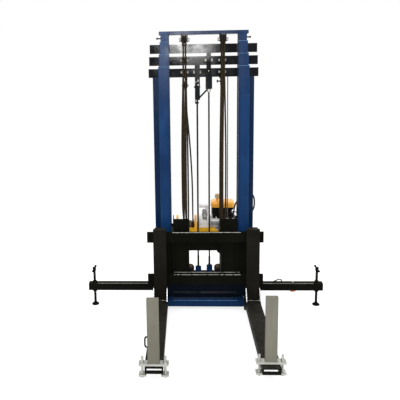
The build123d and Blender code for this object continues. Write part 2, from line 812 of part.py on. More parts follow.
# Outrigger arms with screw jacks
arm_mid = (arm_front + arm_back) / 2
for name, s in sides:
    with BuildPart() as arm:
        tube_x(min(s * arm_inner, s * arm_tip), max(s * arm_inner, s * arm_tip),
               arm_front, arm_back, arm_bottom, arm_top, arm_wall)
        slab(s * (arm_tip - 5), s * arm_tip, arm_front, arm_back, arm_bottom, arm_top)
        collar_in = collar_r - 8
        for z0, r0, r1 in ((arm_bottom - collar_h, collar_in, collar_r), (arm_top, collar_r, collar_in)):
            with Locations((s * jack_x, arm_mid, z0 + collar_h / 2)):
                Cone(r0, r1, collar_h)
        rod_z(s * jack_x, arm_mid, arm_bottom, arm_top, collar_r - 4)
        rod_z(s * jack_x, arm_mid, arm_bottom - 40, arm_top + 40, jack_r + jack_fit, Mode.SUBTRACT)
        if name == "right":
            with BuildLine(Plane.XZ.offset(-arm_mid)) as loop:
                FilletPolyline((loop_x, arm_top - 3), (loop_x + 6, arm_top + 6),
                               (loop_x + loop_w - 20, arm_top + 27), (loop_x + loop_w, arm_top + 22),
                               (loop_x + loop_w, arm_top - 3), radius=5)
            with BuildSketch(Plane(loop.wires()[0] @ 0, z_dir=loop.wires()[0] % 0)):
                Circle(4)
            sweep(path=loop.wires()[0])
            rod_z(stop_x, arm_mid, arm_bottom - 6, arm_bottom, 26)
            with Locations((stop_x, arm_mid, arm_bottom - 6)):
                Sphere(20, arc_size1=-90, arc_size2=0)
            rod_z(stop_x, arm_mid, arm_top, arm_top + 4, 20)
    arm.part.label = f"outrigger_arm_{name}"
    export_step(arm.part, f"parts/outrigger_arm_{name}.step")

    with BuildPart() as jack_screw:
        rod_z(s * jack_x, arm_mid, foot_t, jack_top, jack_r)
        with BuildSketch(Plane.XZ.offset(-arm_mid)):
            with BuildLine():
                Polyline((s * jack_x, 0), (s * (jack_x + foot_r), 0), (s * (jack_x + foot_r), 6),
                         (s * (jack_x + 14), foot_t), (s * jack_x, foot_t), close=True)
            make_face()
        revolve(axis=Axis((s * jack_x, arm_mid, 0), (0, 0, 1)))
    jack_screw.part.label = f"jack_screw_{name}"
    export_step(jack_screw.part, f"parts/jack_screw_{name}.step")

    with BuildPart() as jack_handle:
        rod_z(s * jack_x, arm_mid, jack_top, jack_top + 24, 13)
        rod_y(s * jack_x, arm_mid - handle_half, arm_mid + handle_half, jack_top + 13, 5.5)
        for e in (-1, 1):
            with Locations((s * jack_x, arm_mid + e * handle_half, jack_top + 13)):
                Sphere(handle_ball)
    jack_handle.part.label = f"jack_handle_{name}"
    export_step(jack_handle.part, f"parts/jack_handle_{name}.step")

# Front wheels on stub axles, rear swivel casters
for name, s in sides:
    with BuildPart() as front_wheel:
        rod_x(s * (wheel_x - wheel_w / 2), s * (wheel_x + wheel_w / 2), wheel_y, wheel_r, wheel_r)
        chamfer(front_wheel.edges().filter_by(GeomType.CIRCLE), 4)
        rod_x(s * (wheel_x - 40), s * (wheel_x + 40), wheel_y, wheel_r, wheel_axle + axle_fit, Mode.SUBTRACT)
    front_wheel.part.label = f"front_wheel_{name}"
    export_step(front_wheel.part, f"parts/front_wheel_{name}.step")

    hub_y = caster_y + caster_trail
    with BuildPart() as caster_fork:
        rod_z(s * caster_x, caster_y, caster_plate_z - caster_gap - 8, caster_plate_z - caster_gap, 34)
        for e in (-1, 1):
            x0 = s * caster_x + e * (caster_w / 2 + 2)
            with BuildSketch(Plane.YZ.offset(min(x0, x0 + e * 5))):
                with BuildLine():
                    Polyline((caster_y - 24, caster_plate_z - caster_gap - 8),
                             (caster_y + 24, caster_plate_z - caster_gap - 8),
                             (hub_y + 13, caster_r), (hub_y, caster_r - 13),
                             (hub_y - 13, caster_r), close=True)
                make_face()
            extrude(amount=5)
        rod_x(s * caster_x - caster_w / 2 - 10, s * caster_x + caster_w / 2 + 10, hub_y, caster_r, wheel_axle)
    caster_fork.part.label = f"caster_fork_{name}"
    export_step(caster_fork.part, f"parts/caster_fork_{name}.step")

    with BuildPart() as caster_wheel:
        rod_x(s * caster_x - caster_w / 2, s * caster_x + caster_w / 2, hub_y, caster_r, caster_r)
        chamfer(caster_wheel.edges().filter_by(GeomType.CIRCLE), 3)
        rod_x(s * caster_x - 40, s * caster_x + 40, hub_y, caster_r, wheel_axle + axle_fit, Mode.SUBTRACT)
    caster_wheel.part.label = f"caster_wheel_{name}"
    export_step(caster_wheel.part, f"parts/caster_wheel_{name}.step")

# Winch bed with a folded front lip and two bearing uprights
with BuildPart() as winch_bed:
    slab(bed_left, bed_right, mast + bed_near, mast + bed_far, platform_top, bed_top)
    with BuildSketch(Plane.XZ.offset(-(mast + bed_near))):
        with BuildLine():
            Polyline((lip_left, platform_top), (lip_right, platform_top),
                     (lip_right - lip_slope, platform_top + lip_h),
                     (lip_left, platform_top + lip_h), close=True)
        make_face()
    extrude(amount=lip_t)
    for x0 in (drum_left - bearing_gap - bearing_t, drum_right + bearing_gap):
        with BuildSketch(Plane.YZ.offset(x0)) as upright:
            with BuildLine():
                Polyline((drum_y - bearing_foot, bed_top), (drum_y + bearing_foot, bed_top),
                         (drum_y + bearing_head, drum_z + bearing_over),
                         (drum_y - bearing_head, drum_z + bearing_over), close=True)
            make_face()
            fillet(upright.vertices().sort_by(Axis.Z)[-2:], bearing_head * 0.7)
        extrude(amount=bearing_t)
    rod_x(bed_left - bearing_t, gearbox_left, drum_y, drum_z, drum_shaft + shaft_fit, Mode.SUBTRACT)
winch_bed.part.label = "winch_bed"
export_step(winch_bed.part, "parts/winch_bed.step")

with BuildPart() as winch_drum:
    for x0 in (drum_left, drum_right - drum_flange_t):
        rod_x(x0, x0 + drum_flange_t, drum_y, drum_z, drum_flange)
    rod_x(drum_left, drum_right, drum_y, drum_z, drum_coil - rope_r - groove_gap)
    rod_x(drum_left - bearing_gap - bearing_t - 6, gearbox_left, drum_y, drum_z, drum_shaft)
winch_drum.part.label = "winch_drum"
export_step(winch_drum.part, "parts/winch_drum.step")

# Rope from the front of the drum up to the head sheave and over it
drum_rope_x = drum_right - drum_flange_t - rope_r - 1
climb_h = head_z - drum_z
with BuildPart() as drum_rope:
    with BuildLine() as climb:
        top = (head_x, head_y + head_r, head_z)
        FilletPolyline(
            (drum_rope_x, drum_y - drum_coil, drum_z),
            (drum_rope_x, drum_y - drum_coil, drum_z + 0.22 * climb_h),
            (drum_rope_x - 7, drum_y - drum_coil - 28, drum_z + 0.43 * climb_h),
            (drum_rope_x - 26, drum_y - drum_coil - 88, drum_z + 0.68 * climb_h),
            (head_x, head_y + head_r, drum_z + 0.91 * climb_h),
            top,
            radius=220,
        )
        ThreePointArc(top, (head_x, head_y, head_z + head_r), (head_x, head_y - head_r, head_z))
    with BuildSketch(Plane((drum_rope_x, drum_y - drum_coil, drum_z))):
        Circle(rope_r)
    sweep(path=climb.wires()[0])
drum_rope.part.label = "drum_rope"
export_step(drum_rope.part, "parts/drum_rope.step")

# Reduction gearbox, the round bell on its engine side and a lying filler neck on top
bell_y = mast + bell_back
bell_z = bed_top + bell_rise
filler_z = bed_top + filler_rise
with BuildPart() as gearbox:
    slab(gearbox_left, gearbox_right, mast + gearbox_near, mast + gearbox_far, bed_top, bed_top + gearbox_h)
    fillet(gearbox.edges().filter_by(Axis.X), gearbox_round)
    with BuildSketch(Plane.XZ.offset(-bell_y)):
        with BuildLine():
            Polyline((gearbox_right - 3 * bell_lip, bell_z),
                     (gearbox_right - 3 * bell_lip, bell_z + bell_r / 2),
                     (gearbox_right - 2 * bell_lip, bell_z + bell_r - 8),
                     (gearbox_right - bell_lip, bell_z + bell_r),
                     (gearbox_right, bell_z + bell_r),
                     (gearbox_right, bell_z), close=True)
        make_face()
    revolve(axis=Axis((0, bell_y, bell_z), (1, 0, 0)))
    rod_x(gearbox_right, engine_left, bell_y, bell_z - 50, 34)
    filler_y = bell_y - 30
    rod_z(gearbox_right - 2 * bell_lip, filler_y, bell_z, filler_z, filler_r - 3)
    rod_x(gearbox_right - filler_len - 8, gearbox_right - 8, filler_y, filler_z, filler_r)
    rod_y(10, mast + gearbox_near - 14, mast + gearbox_near, bed_top + gearbox_h - 36, 18)
gearbox.part.label = "gearbox"
export_step(gearbox.part, "parts/gearbox.step")

# Engine crankcase with a finned cylinder leaning out in front
cylinder_left = engine_left + fin_over
with BuildPart() as engine_block:
    slab(engine_left, engine_right, engine_mid - engine_half, engine_mid + engine_half,
         bed_top, bed_top + engine_h)
    fillet(engine_block.edges().filter_by(Axis.X), crankcase_round)
    slab(cylinder_left, cylinder_left + cylinder_w, engine_mid - cylinder_front, engine_mid - engine_half / 2,
         bed_top + fin_base / 2, fin_z(fin_count - 1) + fin_t)
    for i in range(fin_count):
        z = fin_z(i)
        slab(engine_left, cylinder_left + cylinder_w + fin_over, engine_mid - cylinder_front - fin_over,
             engine_mid - engine_half / 2, z, z + fin_t)
engine_block.part.label = "engine_block"
export_step(engine_block.part, "parts/engine_block.step")

# Cooling shroud: fan housing, a cowl that widens up to the tank and the air cleaner box
tank_z = bed_top + tank_rise
tank_y0 = mast + tank_near
tank_y1 = mast + tank_far
shroud_z = bed_top + shroud_rise
with BuildPart() as engine_shroud:
    rod_x(engine_right, engine_right + shroud_t, engine_mid, shroud_z, shroud_r)
    chamfer(engine_shroud.edges().filter_by(GeomType.CIRCLE).sort_by(Axis.X)[-1], 14)
    with BuildSketch(Plane(((engine_left + engine_right) / 2, engine_mid, bed_top + engine_h))):
        Rectangle(2 * cowl_half, 2 * cowl_half)
    with BuildSketch(Plane(((tank_left + tank_right) / 2, (tank_y0 + tank_y1) / 2, tank_z))):
        Rectangle(tank_right - tank_left - 8, tank_y1 - tank_y0 - 8)
    loft()
    slab(cleaner_x[0], cleaner_x[1], engine_mid - cleaner_y[0], engine_mid - cleaner_y[1],
         bed_top + cleaner_rise[0], bed_top + cleaner_rise[1])
engine_shroud.part.label = "engine_shroud"
export_step(engine_shroud.part, "parts/engine_shroud.step")

tank_top = tank_z + tank_h
cap_y = tank_y0 + cap_in
with BuildPart() as fuel_tank:
    slab(tank_left, tank_right, tank_y0, tank_y1, tank_z, tank_top)
    fillet(fuel_tank.edges().filter_by(Axis.Z), tank_round)
    fillet(fuel_tank.faces().sort_by(Axis.Z)[-1].edges(), tank_crown)
    slab(tank_left - seam_over, tank_right + seam_over, tank_y0 + tank_round, tank_y1 - tank_round,
         tank_z + 8, tank_z + 12)
    rod_z(cap_x, cap_y, tank_top - 4, tank_top + neck_h, neck_r)
fuel_tank.part.label = "fuel_tank"
export_step(fuel_tank.part, "parts/fuel_tank.step")

with BuildPart() as fuel_cap:
    rod_z(cap_x, cap_y, tank_top + neck_h, tank_top + neck_h + cap_h, cap_r)
    chamfer(fuel_cap.faces().sort_by(Axis.Z)[-1].edges(), 4)
fuel_cap.part.label = "fuel_cap"
export_step(fuel_cap.part, "parts/fuel_cap.step")

silencer_y = engine_mid + engine_half + silencer_gap
silencer_z = bed_top + silencer_rise
silencer_right = engine_right - silencer_gap
with BuildPart() as silencer:
    slab(silencer_right - silencer_w, silencer_right, silencer_y, silencer_y + silencer_d,
         silencer_z, silencer_z + silencer_h)
    fillet(silencer.edges().filter_by(Axis.X), silencer_round)
    rod_x(silencer_right, silencer_right + outlet_len, silencer_y + silencer_d / 2,
          silencer_z + silencer_h / 2, outlet_r)
    slab(silencer_right - silencer_w + 30, silencer_right - 30, engine_mid + engine_half, silencer_y + 2,
         silencer_z + 2, bed_top + engine_h - crankcase_round)
silencer.part.label = "silencer"
export_step(silencer.part, "parts/silencer.step")

# Recoil starter grip on the outer face of the cooling shroud
grip_x = engine_right + shroud_t + grip_gap
grip_z = bed_top + grip_rise
with BuildPart() as recoil_grip:
    rod_x(grip_x, grip_x + 12, engine_mid - 30, grip_z, 7)
    rod_y(grip_x + 20, engine_mid - 68, engine_mid + 8, grip_z, 9)
recoil_grip.part.label = "recoil_grip"
export_step(recoil_grip.part, "parts/recoil_grip.step")

# Throttle lever on the side of the air cleaner box
throttle_x = cleaner_x[1] + grip_gap
throttle_y = engine_mid - cleaner_y[0] + 18
throttle_z = bed_top + lever_rise
with BuildPart() as throttle_lever:
    rod_x(throttle_x, throttle_x + 8, throttle_y, throttle_z, 11)
    slab(throttle_x + 1, throttle_x + 7, throttle_y - 5, throttle_y + 5, throttle_z, throttle_z + lever_h)
    rod_x(throttle_x - 2, throttle_x + 16, throttle_y, throttle_z + lever_h + 4, 8)
throttle_lever.part.label = "throttle_lever"
export_step(throttle_lever.part, "parts/throttle_lever.step")

# Control cables: sheathed throttle cable clipped to the right rear post, thin limit cable to the crossbar
post_rear = back_of(0) + rear_post_d
sheath_x = cleaner_x[1] - 22
sheath_y = throttle_y + 10
sheath_z = bed_top + cleaner_rise[1]
bow_z = bed_top + cable_rise
clip_x = post_out - 29
clip_z = bow_z + 4
limit_x = 186.0
limit_y = bar_back + limit_r + 2
gland_y = mast + platform_near + 16
gland_top = platform_top + 14
with BuildPart() as control_cables:
    with BuildLine() as sheath:
        FilletPolyline(
            (sheath_x, sheath_y, sheath_z),
            (sheath_x, sheath_y, bow_z + 44),
            (sheath_x + 38, sheath_y - 22, bow_z + 122),
            (post_out - 46, post_rear + 118, bow_z + 186),
            (post_out + 20, post_rear + 54, bow_z + 184),
            (post_out + 25, post_rear + 42, bow_z + 92),
            (post_out + 4, post_rear + 26, bow_z + 52),
            (clip_x + 8, post_rear + 11, bow_z + 36),
            (clip_x, post_rear + 8, clip_z),
            radius=14,
        )
    wire = sheath.wires()[0]
    with BuildSketch(Plane(wire @ 0, z_dir=wire % 0)):
        Circle(sheath_r)
    sweep(path=wire)
    slab(clip_x - 11, clip_x + 11, post_rear, post_rear + 16, clip_z - 20, clip_z)
    with BuildLine() as limit:
        FilletPolyline(
            (limit_x, limit_y, bar_bottom(0) + 20),
            (limit_x, limit_y, gland_top + 110),
            (limit_x, limit_y + 24, gland_top + 60),
            (limit_x, gland_y, gland_top + 36),
            (limit_x, gland_y, gland_top),
            radius=16,
        )
    with BuildSketch(Plane((limit_x, limit_y, bar_bottom(0) + 20), z_dir=(0, 0, -1))):
        Circle(limit_r)
    sweep(path=limit.wires()[0])
    slab(limit_x - 8, limit_x + 8, bar_back, bar_back + 12, bar_bottom(0) + 4, bar_bottom(0) + 30)
    slab(limit_x - 10, limit_x + 10, gland_y - 10, gland_y + 10, platform_top, gland_top)
control_cables.part.label = "control_cables"
export_step(control_cables.part, "parts/control_cables.step")

# Rope strands that change length as the mast extends
with BuildPart() as main_falls:
    for name, s in sides:
        rod_z(s * fall_x, fall_y, traverse_z, head_z, rope_r)
main_falls.part.label = "main_falls"
export_step(main_falls.part, "parts/main_falls.step")

strands = {
    "sync1_front_rope": (sync1_x, sync1_front, sync1_lug_top, sync1_z),
    "sync1_rear_rope": (sync1_x, sync1_rear, rail_top, sync1_z),
    "sync2_front_rope": (sync2_x, sync2_front, lug_top, sync2_z),
}
for label, (x, y, z0, z1) in strands.items():
    with BuildPart() as strand:
        rod_z(x, y, z0, z1, rope_r)
    strand.part.label = label
    export_step(strand.part, f"parts/{label}.step")

with BuildPart() as sync2_rear_rope:
    with BuildLine() as slope:
        FilletPolyline((knob_x, sync2_rear, knob_z), (knob_x, sync2_rear, knob_z + 12),
                       (sync2_x, sync2_rear, sync2_z - 62), (sync2_x, sync2_rear, sync2_z), radius=18)
    with BuildSketch(Plane(slope.wires()[0] @ 0, z_dir=slope.wires()[0] % 0)):
        Circle(rope_r)
    sweep(path=slope.wires()[0])
sync2_rear_rope.part.label = "sync2_rear_rope"
export_step(sync2_rear_rope.part, "parts/sync2_rear_rope.step")

lift_strands = {
    "carriage_ropes_front": (lift_front, lift_anchor_z),
    "carriage_ropes_rear": (lift_rear, foot_bottom(2) + foot_h + lift_lug_h),
}
for label, (y, z0) in lift_strands.items():
    with BuildPart() as strand:
        for name, s in sides:
            for x in lift_x:
                rod_z(s * x, y, z0, lift_z, rope_r)
    strand.part.label = label
    export_step(strand.part, f"parts/{label}.step")
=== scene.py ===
import itertools
import math

import bmesh
import bpy
from mathutils import Matrix, Vector


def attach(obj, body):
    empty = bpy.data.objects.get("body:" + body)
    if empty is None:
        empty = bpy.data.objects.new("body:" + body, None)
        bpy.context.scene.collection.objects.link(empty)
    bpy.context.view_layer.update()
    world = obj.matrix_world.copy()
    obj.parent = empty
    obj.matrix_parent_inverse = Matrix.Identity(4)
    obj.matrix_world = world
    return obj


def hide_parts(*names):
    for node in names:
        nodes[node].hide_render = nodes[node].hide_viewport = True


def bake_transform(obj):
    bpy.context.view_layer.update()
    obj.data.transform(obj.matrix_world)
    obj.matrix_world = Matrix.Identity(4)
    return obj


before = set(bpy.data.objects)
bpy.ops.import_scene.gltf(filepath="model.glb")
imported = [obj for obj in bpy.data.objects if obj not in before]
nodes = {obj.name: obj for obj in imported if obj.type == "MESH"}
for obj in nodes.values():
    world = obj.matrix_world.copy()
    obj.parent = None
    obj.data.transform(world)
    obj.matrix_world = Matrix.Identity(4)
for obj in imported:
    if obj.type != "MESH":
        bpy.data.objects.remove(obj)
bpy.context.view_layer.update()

# Places shared with the solids, in metres; depths are measured back from the mast face
MAST = 0.1975
SIDES = (("left", -1), ("right", 1))
X, Y, Z = Vector((1, 0, 0)), Vector((0, 1, 0)), Vector((0, 0, 1))


def at(x, depth, z):
    """A point at a depth behind the mast face."""
    return Vector((x, MAST + depth, z))


def span(side, inner, outer):
    """Lower and upper x of a range on the left (-1) or the right (1)."""
    return sorted((side * inner, side * outer))


def linear(code):
    """Linear colour from a hex sRGB code."""
    values = [int(code[i:i + 2], 16) / 255 for i in (0, 2, 4)]
    return tuple(v / 12.92 if v <= 0.04045 else ((v + 0.055) / 1.055) ** 2.4 for v in values) + (1.0,)


# Materials
class Shader:
    """A node material around one Principled shader, with helpers for procedural detail."""

    SOCKETS = {"metal": "Metallic", "specular": "Specular IOR Level"}
    NOISE_ROUGHNESS = 0.55

    def __init__(self, name):
        self.material = bpy.data.materials.new(name)
        self.material.use_nodes = True
        self.tree = self.material.node_tree
        self.bsdf = self.tree.nodes["Principled BSDF"]
        self.coords = self.tree.nodes.new("ShaderNodeTexCoord").outputs["Object"]

    def link(self, a, b):
        self.tree.links.new(a, b)

    def set(self, **values):
        """Plain values on the shader's own sockets."""
        for key, value in values.items():
            self.bsdf.inputs[self.SOCKETS[key]].default_value = value

    def noise(self, scale, detail, stretch=(1, 1, 1)):
        mapping = self.tree.nodes.new("ShaderNodeMapping")
        mapping.inputs["Scale"].default_value = stretch
        self.link(self.coords, mapping.inputs["Vector"])
        node = self.tree.nodes.new("ShaderNodeTexNoise")
        node.inputs["Scale"].default_value = scale
        node.inputs["Detail"].default_value = detail
        node.inputs["Roughness"].default_value = self.NOISE_ROUGHNESS
        self.link(mapping.outputs["Vector"], node.inputs["Vector"])
        return node.outputs["Fac"]

    def ramp(self, factor, stops):
        """Colours or grey values at places along a factor."""
        node = self.tree.nodes.new("ShaderNodeValToRGB")
        points = node.color_ramp.elements
        while len(points) < len(stops):
            points.new(0.5)
        for point, (place, colour) in zip(points, stops):
            point.position = place
            point.color = colour if isinstance(colour, tuple) else (colour, colour, colour, 1.0)
        self.link(factor, node.inputs["Fac"])
        return node.outputs["Color"]

    def feed(self, node, pairs):
        """Links outputs and sets plain values on numbered inputs."""
        for value, index in pairs:
            if hasattr(value, "is_output"):
                self.link(value, node.inputs[index])
            else:
                node.inputs[index].default_value = value

    def mix(self, factor, a, b):
        """Colour a where the factor is 0, colour b where it is 1."""
        node = self.tree.nodes.new("ShaderNodeMix")
        node.data_type = "RGBA"
        self.feed(node, ((factor, 0), (a, 6), (b, 7)))
        return node.outputs[2]

    def times(self, a, b):
        node = self.tree.nodes.new("ShaderNodeMath")
        node.operation = "MULTIPLY"
        self.feed(node, ((a, 0), (b, 1)))
        return node.outputs[0]

    def upward(self):
        """1 on level top faces, 0 on upright ones."""
        geometry = self.tree.nodes.new("ShaderNodeNewGeometry")
        split = self.tree.nodes.new("ShaderNodeSeparateXYZ")
        self.link(geometry.outputs["Normal"], split.inputs[0])
        return split.outputs["Z"]

    def along(self, axis, low, high):
        """0 at one distance from the middle plane of an axis, 1 at another."""
        split = self.tree.nodes.new("ShaderNodeSeparateXYZ")
        self.link(self.coords, split.inputs[0])
        distance = self.tree.nodes.new("ShaderNodeMath")
        distance.operation = "ABSOLUTE"
        self.link(split.outputs[axis], distance.inputs[0])
        node = self.tree.nodes.new("ShaderNodeMapRange")
        node.inputs["From Min"].default_value = low
        node.inputs["From Max"].default_value = high
        self.link(distance.outputs[0], node.inputs["Value"])
        return node.outputs[0]

    def edges(self, radius):
        """1 along sharp edges, 0 on open faces."""
        bevel = self.tree.nodes.new("ShaderNodeBevel")
        bevel.samples = 4
        bevel.inputs["Radius"].default_value = radius
        geometry = self.tree.nodes.new("ShaderNodeNewGeometry")
        dot = self.tree.nodes.new("ShaderNodeVectorMath")
        dot.operation = "DOT_PRODUCT"
        self.link(bevel.outputs[0], dot.inputs[0])
        self.link(geometry.outputs["Normal"], dot.inputs[1])
        return self.ramp(dot.outputs["Value"], ((0.78, 1.0), (0.97, 0.0)))

    def bump(self, heights):
        """Chain of (factor, strength, distance) bumps on the shader's normal."""
        last = None
        for factor, strength, distance in heights:
            node = self.tree.nodes.new("ShaderNodeBump")
            node.inputs["Strength"].default_value = strength
            node.inputs["Distance"].default_value = distance
            self.link(factor, node.inputs["Height"])
            if last is not None:
                self.link(last, node.inputs["Normal"])
            last = node.outputs["Normal"]
        self.link(last, self.bsdf.inputs["Normal"])

    def colour(self, output):
        self.link(output, self.bsdf.inputs["Base Color"])

    def roughness(self, output):
        self.link(output, self.bsdf.inputs["Roughness"])


def paint(name, tone, light, dark, bare, rough=0.4, specular=0.12, dust=0.06, wear=0.8, edge=0.0025,
          dirt="8a867c", shades=()):
    """Sprayed enamel: uneven tone, runs, orange peel, dust on top faces, worn top edges that double as
    painted highlights, and painted shade.

    Each of the shades gives an axis, the distances where the painted shade starts and is full, and its tint.
    """
    s = Shader(name)
    s.set(specular=specular)
    cloud = s.ramp(s.noise(scale=2.3, detail=3.0),
                   ((0.35, linear(dark)), (0.55, linear(tone)), (0.75, linear(light))))
    streak = s.ramp(s.noise(scale=14.0, detail=5.0, stretch=(3.0, 3.0, 0.35)), ((0.42, 0.0), (0.75, 0.55)))
    body = s.mix(streak, cloud, linear(dark))
    # Painted shade and shadow: darker tints mixed in by place along an axis
    for axis, low, high, tint in shades:
        body = s.mix(s.along(axis, low, high), body, linear(tint))
    top = s.ramp(s.upward(), ((0.55, 0.0), (0.95, dust)))
    grime = s.times(top, s.ramp(s.noise(scale=30.0, detail=6.0), ((0.35, 0.2), (0.7, 1.0))))
    dusty = s.mix(grime, body, linear(dirt))
    # Edge wear kept to top edges, where its pale bare colour is partly real wear and partly a painted
    # highlight
    top_edge_wear_and_highlight = s.times(s.edges(edge), s.ramp(s.upward(), ((0.15, 0.12), (0.45, 1.0))))
    chips_and_highlight = s.times(top_edge_wear_and_highlight, s.ramp(s.noise(scale=55.0, detail=6.0), ((0.40, 0.1), (0.60, wear))))
    s.colour(s.mix(chips_and_highlight, dusty, linear(bare)))
    s.roughness(s.ramp(s.noise(scale=9.0, detail=5.0), ((0.3, rough - 0.08), (0.75, rough + 0.14))))
    peel = s.noise(scale=420.0, detail=2.0)
    dents = s.noise(scale=38.0, detail=3.0)
    s.bump(((peel, 0.10, 0.0004), (dents, 0.06, 0.0012)))
    return s.material


def metal(name, tone, dark, rough=0.35, stretch=(1, 1, 1), metallic=1.0, stain=0.4, grain=260.0,
          specular=0.3):
    """Bare or plated metal: fine grain along one direction, dull stains and pits."""
    s = Shader(name)
    s.set(metal=metallic, specular=specular)
    pits = s.noise(grain, detail=3.0, stretch=stretch)
    body = s.ramp(pits, ((0.3, linear(dark)), (0.65, linear(tone))))
    stains = s.ramp(s.noise(scale=22.0, detail=6.0), ((0.45, 0.0), (0.75, stain)))
    s.colour(s.mix(stains, body, linear(dark)))
    s.roughness(s.ramp(s.noise(scale=40.0, detail=5.0), ((0.3, rough - 0.1), (0.75, rough + 0.18))))
    s.bump(((pits, 0.12, 0.0004),))
    return s.material


def wire(name, tone, dark, stain, specular):
    """Dull greased wire."""
    return metal(name, tone, dark, rough=0.5, metallic=0.0, stain=stain, grain=420.0, specular=specular)


def edge_highlight_paint(name, tone, dark, stain, specular):
    """Pale dull strips laid on edges as painted highlights."""
    return metal(name, tone, dark, rough=0.5, metallic=0.0, stain=stain, grain=60.0, specular=specular)


def moulded(name, tone, light, rough=0.55, grain=700.0, specular=0.15):
    """Moulded plastic or rubber with a fine texture and scuffs."""
    s = Shader(name)
    s.set(specular=specular)
    scuff = s.ramp(s.noise(scale=35.0, detail=6.0, stretch=(1, 1, 3)), ((0.48, 0.0), (0.8, 0.6)))
    s.colour(s.mix(scuff, linear(tone), linear(light)))
    s.roughness(s.ramp(s.noise(scale=18.0, detail=4.0), ((0.3, rough - 0.1), (0.75, rough + 0.12))))
    s.bump(((s.noise(grain, detail=2.0), 0.18, 0.0004),))
    return s.material


# Painted shade along the inner edges of the columns and on the posts behind them; painted shadow on the frame
# behind the mast face
COLUMN_SHADE = ("X", 0.272, 0.256, "0c2546")
POST_SHADE = ("Y", MAST + 0.085, MAST + 0.10, "062140")
FRAME_SHADOW = ("Y", MAST - 0.004, MAST + 0.012, "070d18")

blue = paint("blue_enamel", "12335c", "183c68", "0e294d", "8aa0b8", rough=0.22, specular=0.08, dust=0.02,
             shades=(COLUMN_SHADE, POST_SHADE))
blue_dark = paint("blue_frame", "122d50", "17365c", "0e2443", "6d7d90", rough=0.5, specular=0.04, dust=0.0,
                  shades=(FRAME_SHADOW,))
bar_black = paint("bar_black", "14171a", "1c2023", "0e1012", "565a5c", rough=0.1, specular=0.06, dust=0.0,
                  wear=0.2)
black = paint("black_enamel", "11110e", "181814", "0c0c0a", "77776e", rough=0.42, specular=0.01, dust=0.0,
              wear=0.15)
fork_black = paint("fork_black", "1b1a16", "24231e", "141310", "77776e", rough=0.5, specular=0.02, wear=0.3)
worn_black = paint("worn_black", "11110d", "181813", "0c0c09", "9a9a92", rough=0.5, specular=0.01, dust=0.0,
                   wear=0.25, edge=0.003)
grey = paint("post_grey", "737165", "7e7c6f", "68665b", "a8a69c", rough=0.6, specular=0.1, dust=0.3,
             wear=0.4, dirt="5c5b52")
yellow = paint("winch_yellow", "fbc02e", "ffcb48", "e8aa22", "7a756a", specular=0.05, dust=0.0, wear=0.2)
tank_yellow = paint("tank_yellow", "f2ad41", "f9bd58", "e69b30", "b9a27a", rough=0.26, specular=0.4, wear=0.3)
drum_red = paint("drum_red", "57210f", "69301c", "3f160a", "6c6258", rough=0.5)
zinc = metal("zinc_plate", "c4c4be", "8c8d86", rough=0.42, metallic=0.7, stain=0.5)
steel = metal("worn_sheave", "6b5b4a", "33291f", rough=0.42, stretch=(0.2, 4, 4), stain=0.6)
dark_steel = metal("greased_sheave", "2a251e", "100d0a", rough=0.5, metallic=0.0, stain=0.6, specular=0.1)
bare = metal("bare_edge", "b9bbba", "8d8f8e", rough=0.38, stain=0.2)
rope_wire = wire("greased_rope", "3b3122", "17110a", stain=0.7, specular=0.05)
rope_pale = wire("coiled_rope", "8c806a", "4c4234", stain=0.6, specular=0.05)
rope_dark = wire("dark_rope", "2c2b27", "151412", stain=0.5, specular=0.04)
cast = metal("cast_alloy", "fdfbfa", "e6e3e2", rough=0.5, metallic=0.0, stain=0.25, grain=120.0)
cast_bright = metal("cast_bright", "f6f6f4", "e4e4e0", rough=0.45, metallic=0.0, stain=0.1, grain=120.0)
clutch_grey = metal("clutch_grey", "a09f9c", "6a6966", rough=0.4, metallic=0.6, stain=0.4, grain=120.0)
# Pale strips used as painted highlights on the carriage edges, the arm tops, the channel tops and the beam
# edge
carriage_highlight = edge_highlight_paint("carriage_edge_highlight", "cfcfc8", "9a9a92", stain=0.9, specular=0.1)
arm_highlight = edge_highlight_paint("arm_highlight", "a0a096", "6c6c62", stain=0.7, specular=0.05)
blue_highlight = edge_highlight_paint("blue_edge_highlight", "5d83a8", "345a84", stain=0.6, specular=0.1)
exhaust = metal("exhaust_steel", "6a6560", "3a3531", rough=0.5, stain=0.7)
plastic = moulded("plastic_black", "0e0e0e", "1c1c1b", specular=0.12)
shroud_black = moulded("shroud_black", "0d0d0c", "191917", rough=0.5, specular=0.1)
rubber = moulded("rubber_tread", "161615", "2b2a28", rough=0.75, grain=300.0)
sheath = moulded("sheath_black", "0f0f0f", "1d1d1d", rough=0.5)
grey_cable = moulded("grey_cable", "5d5b56", "73716b", rough=0.5)
orange = moulded("orange_cap", "b8601a", "cf7c30", rough=0.4)
cream = moulded("cream_cap", "c0a67e", "ecdcc0", rough=0.45, grain=240.0)
ceramic = moulded("plug_ceramic", "d8d5cc", "c2beb2", rough=0.3)

